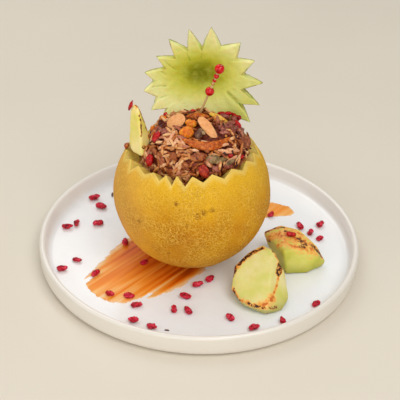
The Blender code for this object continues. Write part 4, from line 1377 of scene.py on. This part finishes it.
def make_smear():
    columns = round(2 * SMEAR_HALF / SMEAR_STEP)
    rows = round(2 * SMEAR_REACH * SMEAR_SPARE / SMEAR_STEP)
    turn = Matrix.Rotation(SMEAR_TURN, 3, "Z")
    bm = bmesh.new()
    thick_and_shadow = bm.verts.layers.float.new("thick_and_shadow")
    grid = {}
    for i in range(columns + 1):
        for j in range(rows + 1):
            along, across = i * SMEAR_STEP - SMEAR_HALF, (j - rows / 2) * SMEAR_STEP
            share = smear_height(along, across)
            if share <= DRY_SHARE:
                continue
            spot = turn @ Vector((along, across, 0))
            vert = bm.verts.new((spot.x, spot.y, PLATE_FLOOR + SMEAR_DEPTH * share))
            vert[thick_and_shadow] = min(1.0, share)
            grid[i, j] = vert
    for i, j in list(grid):
        corners = [grid.get(key) for key in ((i, j), (i + 1, j), (i + 1, j + 1), (i, j + 1))]
        if all(corners):
            bm.faces.new(corners)
    loose = [vert for vert in bm.verts if not vert.link_faces]
    bmesh.ops.delete(bm, geom=loose, context="VERTS")
    # A skirt down into the glaze closes the body all round.
    rim = bmesh.ops.extrude_edge_only(bm, edges=[edge for edge in bm.edges if edge.is_boundary])
    for vert in (g for g in rim["geom"] if isinstance(g, bmesh.types.BMVert)):
        vert.co.z = PLATE_FLOOR - SKIRT
        vert[thick_and_shadow] = 0
    smear = put_in_scene("sauce_smear", mesh_of("sauce_smear", bm), sauce_finish())
    finish_piece(smear, "dried_fruit")


make_smear()

# %% [markdown]
# ## Pick
# A bamboo pick with lacquered beads: two large ones with small ones between them.

# %% Pick and beads
def bead_finish(name, colour, dark):
    material, place = start_finish(
        name, 0.16, Specular_IOR_Level=0.3, Coat_Weight=0.3, Coat_Roughness=0.05
    )
    swirl = ramp(speckle(place, 4 * MM, 2.0), (0.35, dark), (0.65, colour))
    return end_finish(material, swirl, speckle(place, 3 * MM), 0.1 * MM)


def bamboo_finish():
    material, place = start_finish("bamboo", 0.5)
    stretched = add(place, "ShaderNodeMapping", {"Vector": place, "Scale": (1, 1, 0.08)})
    fibre = speckle(stretched, 0.25 * MM, 3.0)
    colour = ramp(fibre, (0.3, (176, 132, 78)), (0.7, (222, 186, 128)))
    return end_finish(material, colour, fibre, 0.1 * MM)


# Name of each solid, distance down the stick from its top, radius and finish.
PICK_TOP = Vector((12.3, 12.0, 175.5)) * MM
PICK_FOOT = Vector((-7.0, 12.0, 121.0)) * MM
STICK_RADIUS, STICK_POINT, BORE_GAP = 1.0 * MM, 7 * MM, 0.3 * MM
BEADS = (
    ("bead_top", 3.5, 4.05, "red"), ("bead_small_a", 10.4, 2.2, "red"),
    ("bead_small_b", 14.6, 1.7, "red"), ("bead_small_c", 18.1, 1.4, "gold"),
    ("bead_low", 25.2, 3.85, "red"),
)
BEAD_STEPS, ARC_STEPS = 40, 20


def turn_on_pick(name, profile, distance, closed, slot, finish, node):
    """Turns (radius, height) points about the stick, at a distance down from its top."""
    piece = turn_profile(name, profile, BEAD_STEPS, finish, closed)
    way = (PICK_FOOT - PICK_TOP).normalized()
    turn = way.to_track_quat("Z", "Y").to_matrix().to_4x4()
    piece.data.transform(Matrix.Translation(PICK_TOP + way * distance) @ turn)
    return finish_piece(piece, slot, node)


lacquers = {
    "red": bead_finish("red_lacquer", (214, 6, 6), (164, 2, 4)),
    "gold": bead_finish("gold_bead", (206, 150, 60), (150, 70, 20)),
}
length = (PICK_FOOT - PICK_TOP).length
stick_line = [(0, length), (0.3 * MM, length - 0.5 * MM), (STICK_RADIUS, length - STICK_POINT)]
stick_line += [(STICK_RADIUS, 0.3 * MM), (0.7 * MM, 0), (0, 0)]
turn_on_pick("bamboo_pick", stick_line, 0, False, "bamboo", bamboo_finish(), "pick_stick")
for node, distance, radius, kind in BEADS:
    edge = math.acos((STICK_RADIUS + BORE_GAP) / (radius * MM))
    angles = [edge - 2 * edge * step / ARC_STEPS for step in range(ARC_STEPS + 1)]
    round_side = [(radius * MM * math.cos(a), radius * MM * math.sin(a)) for a in angles]
    turn_on_pick(
        "lacquer_" + node, round_side, distance * MM, True, "red_bead", lacquers[kind], node
    )
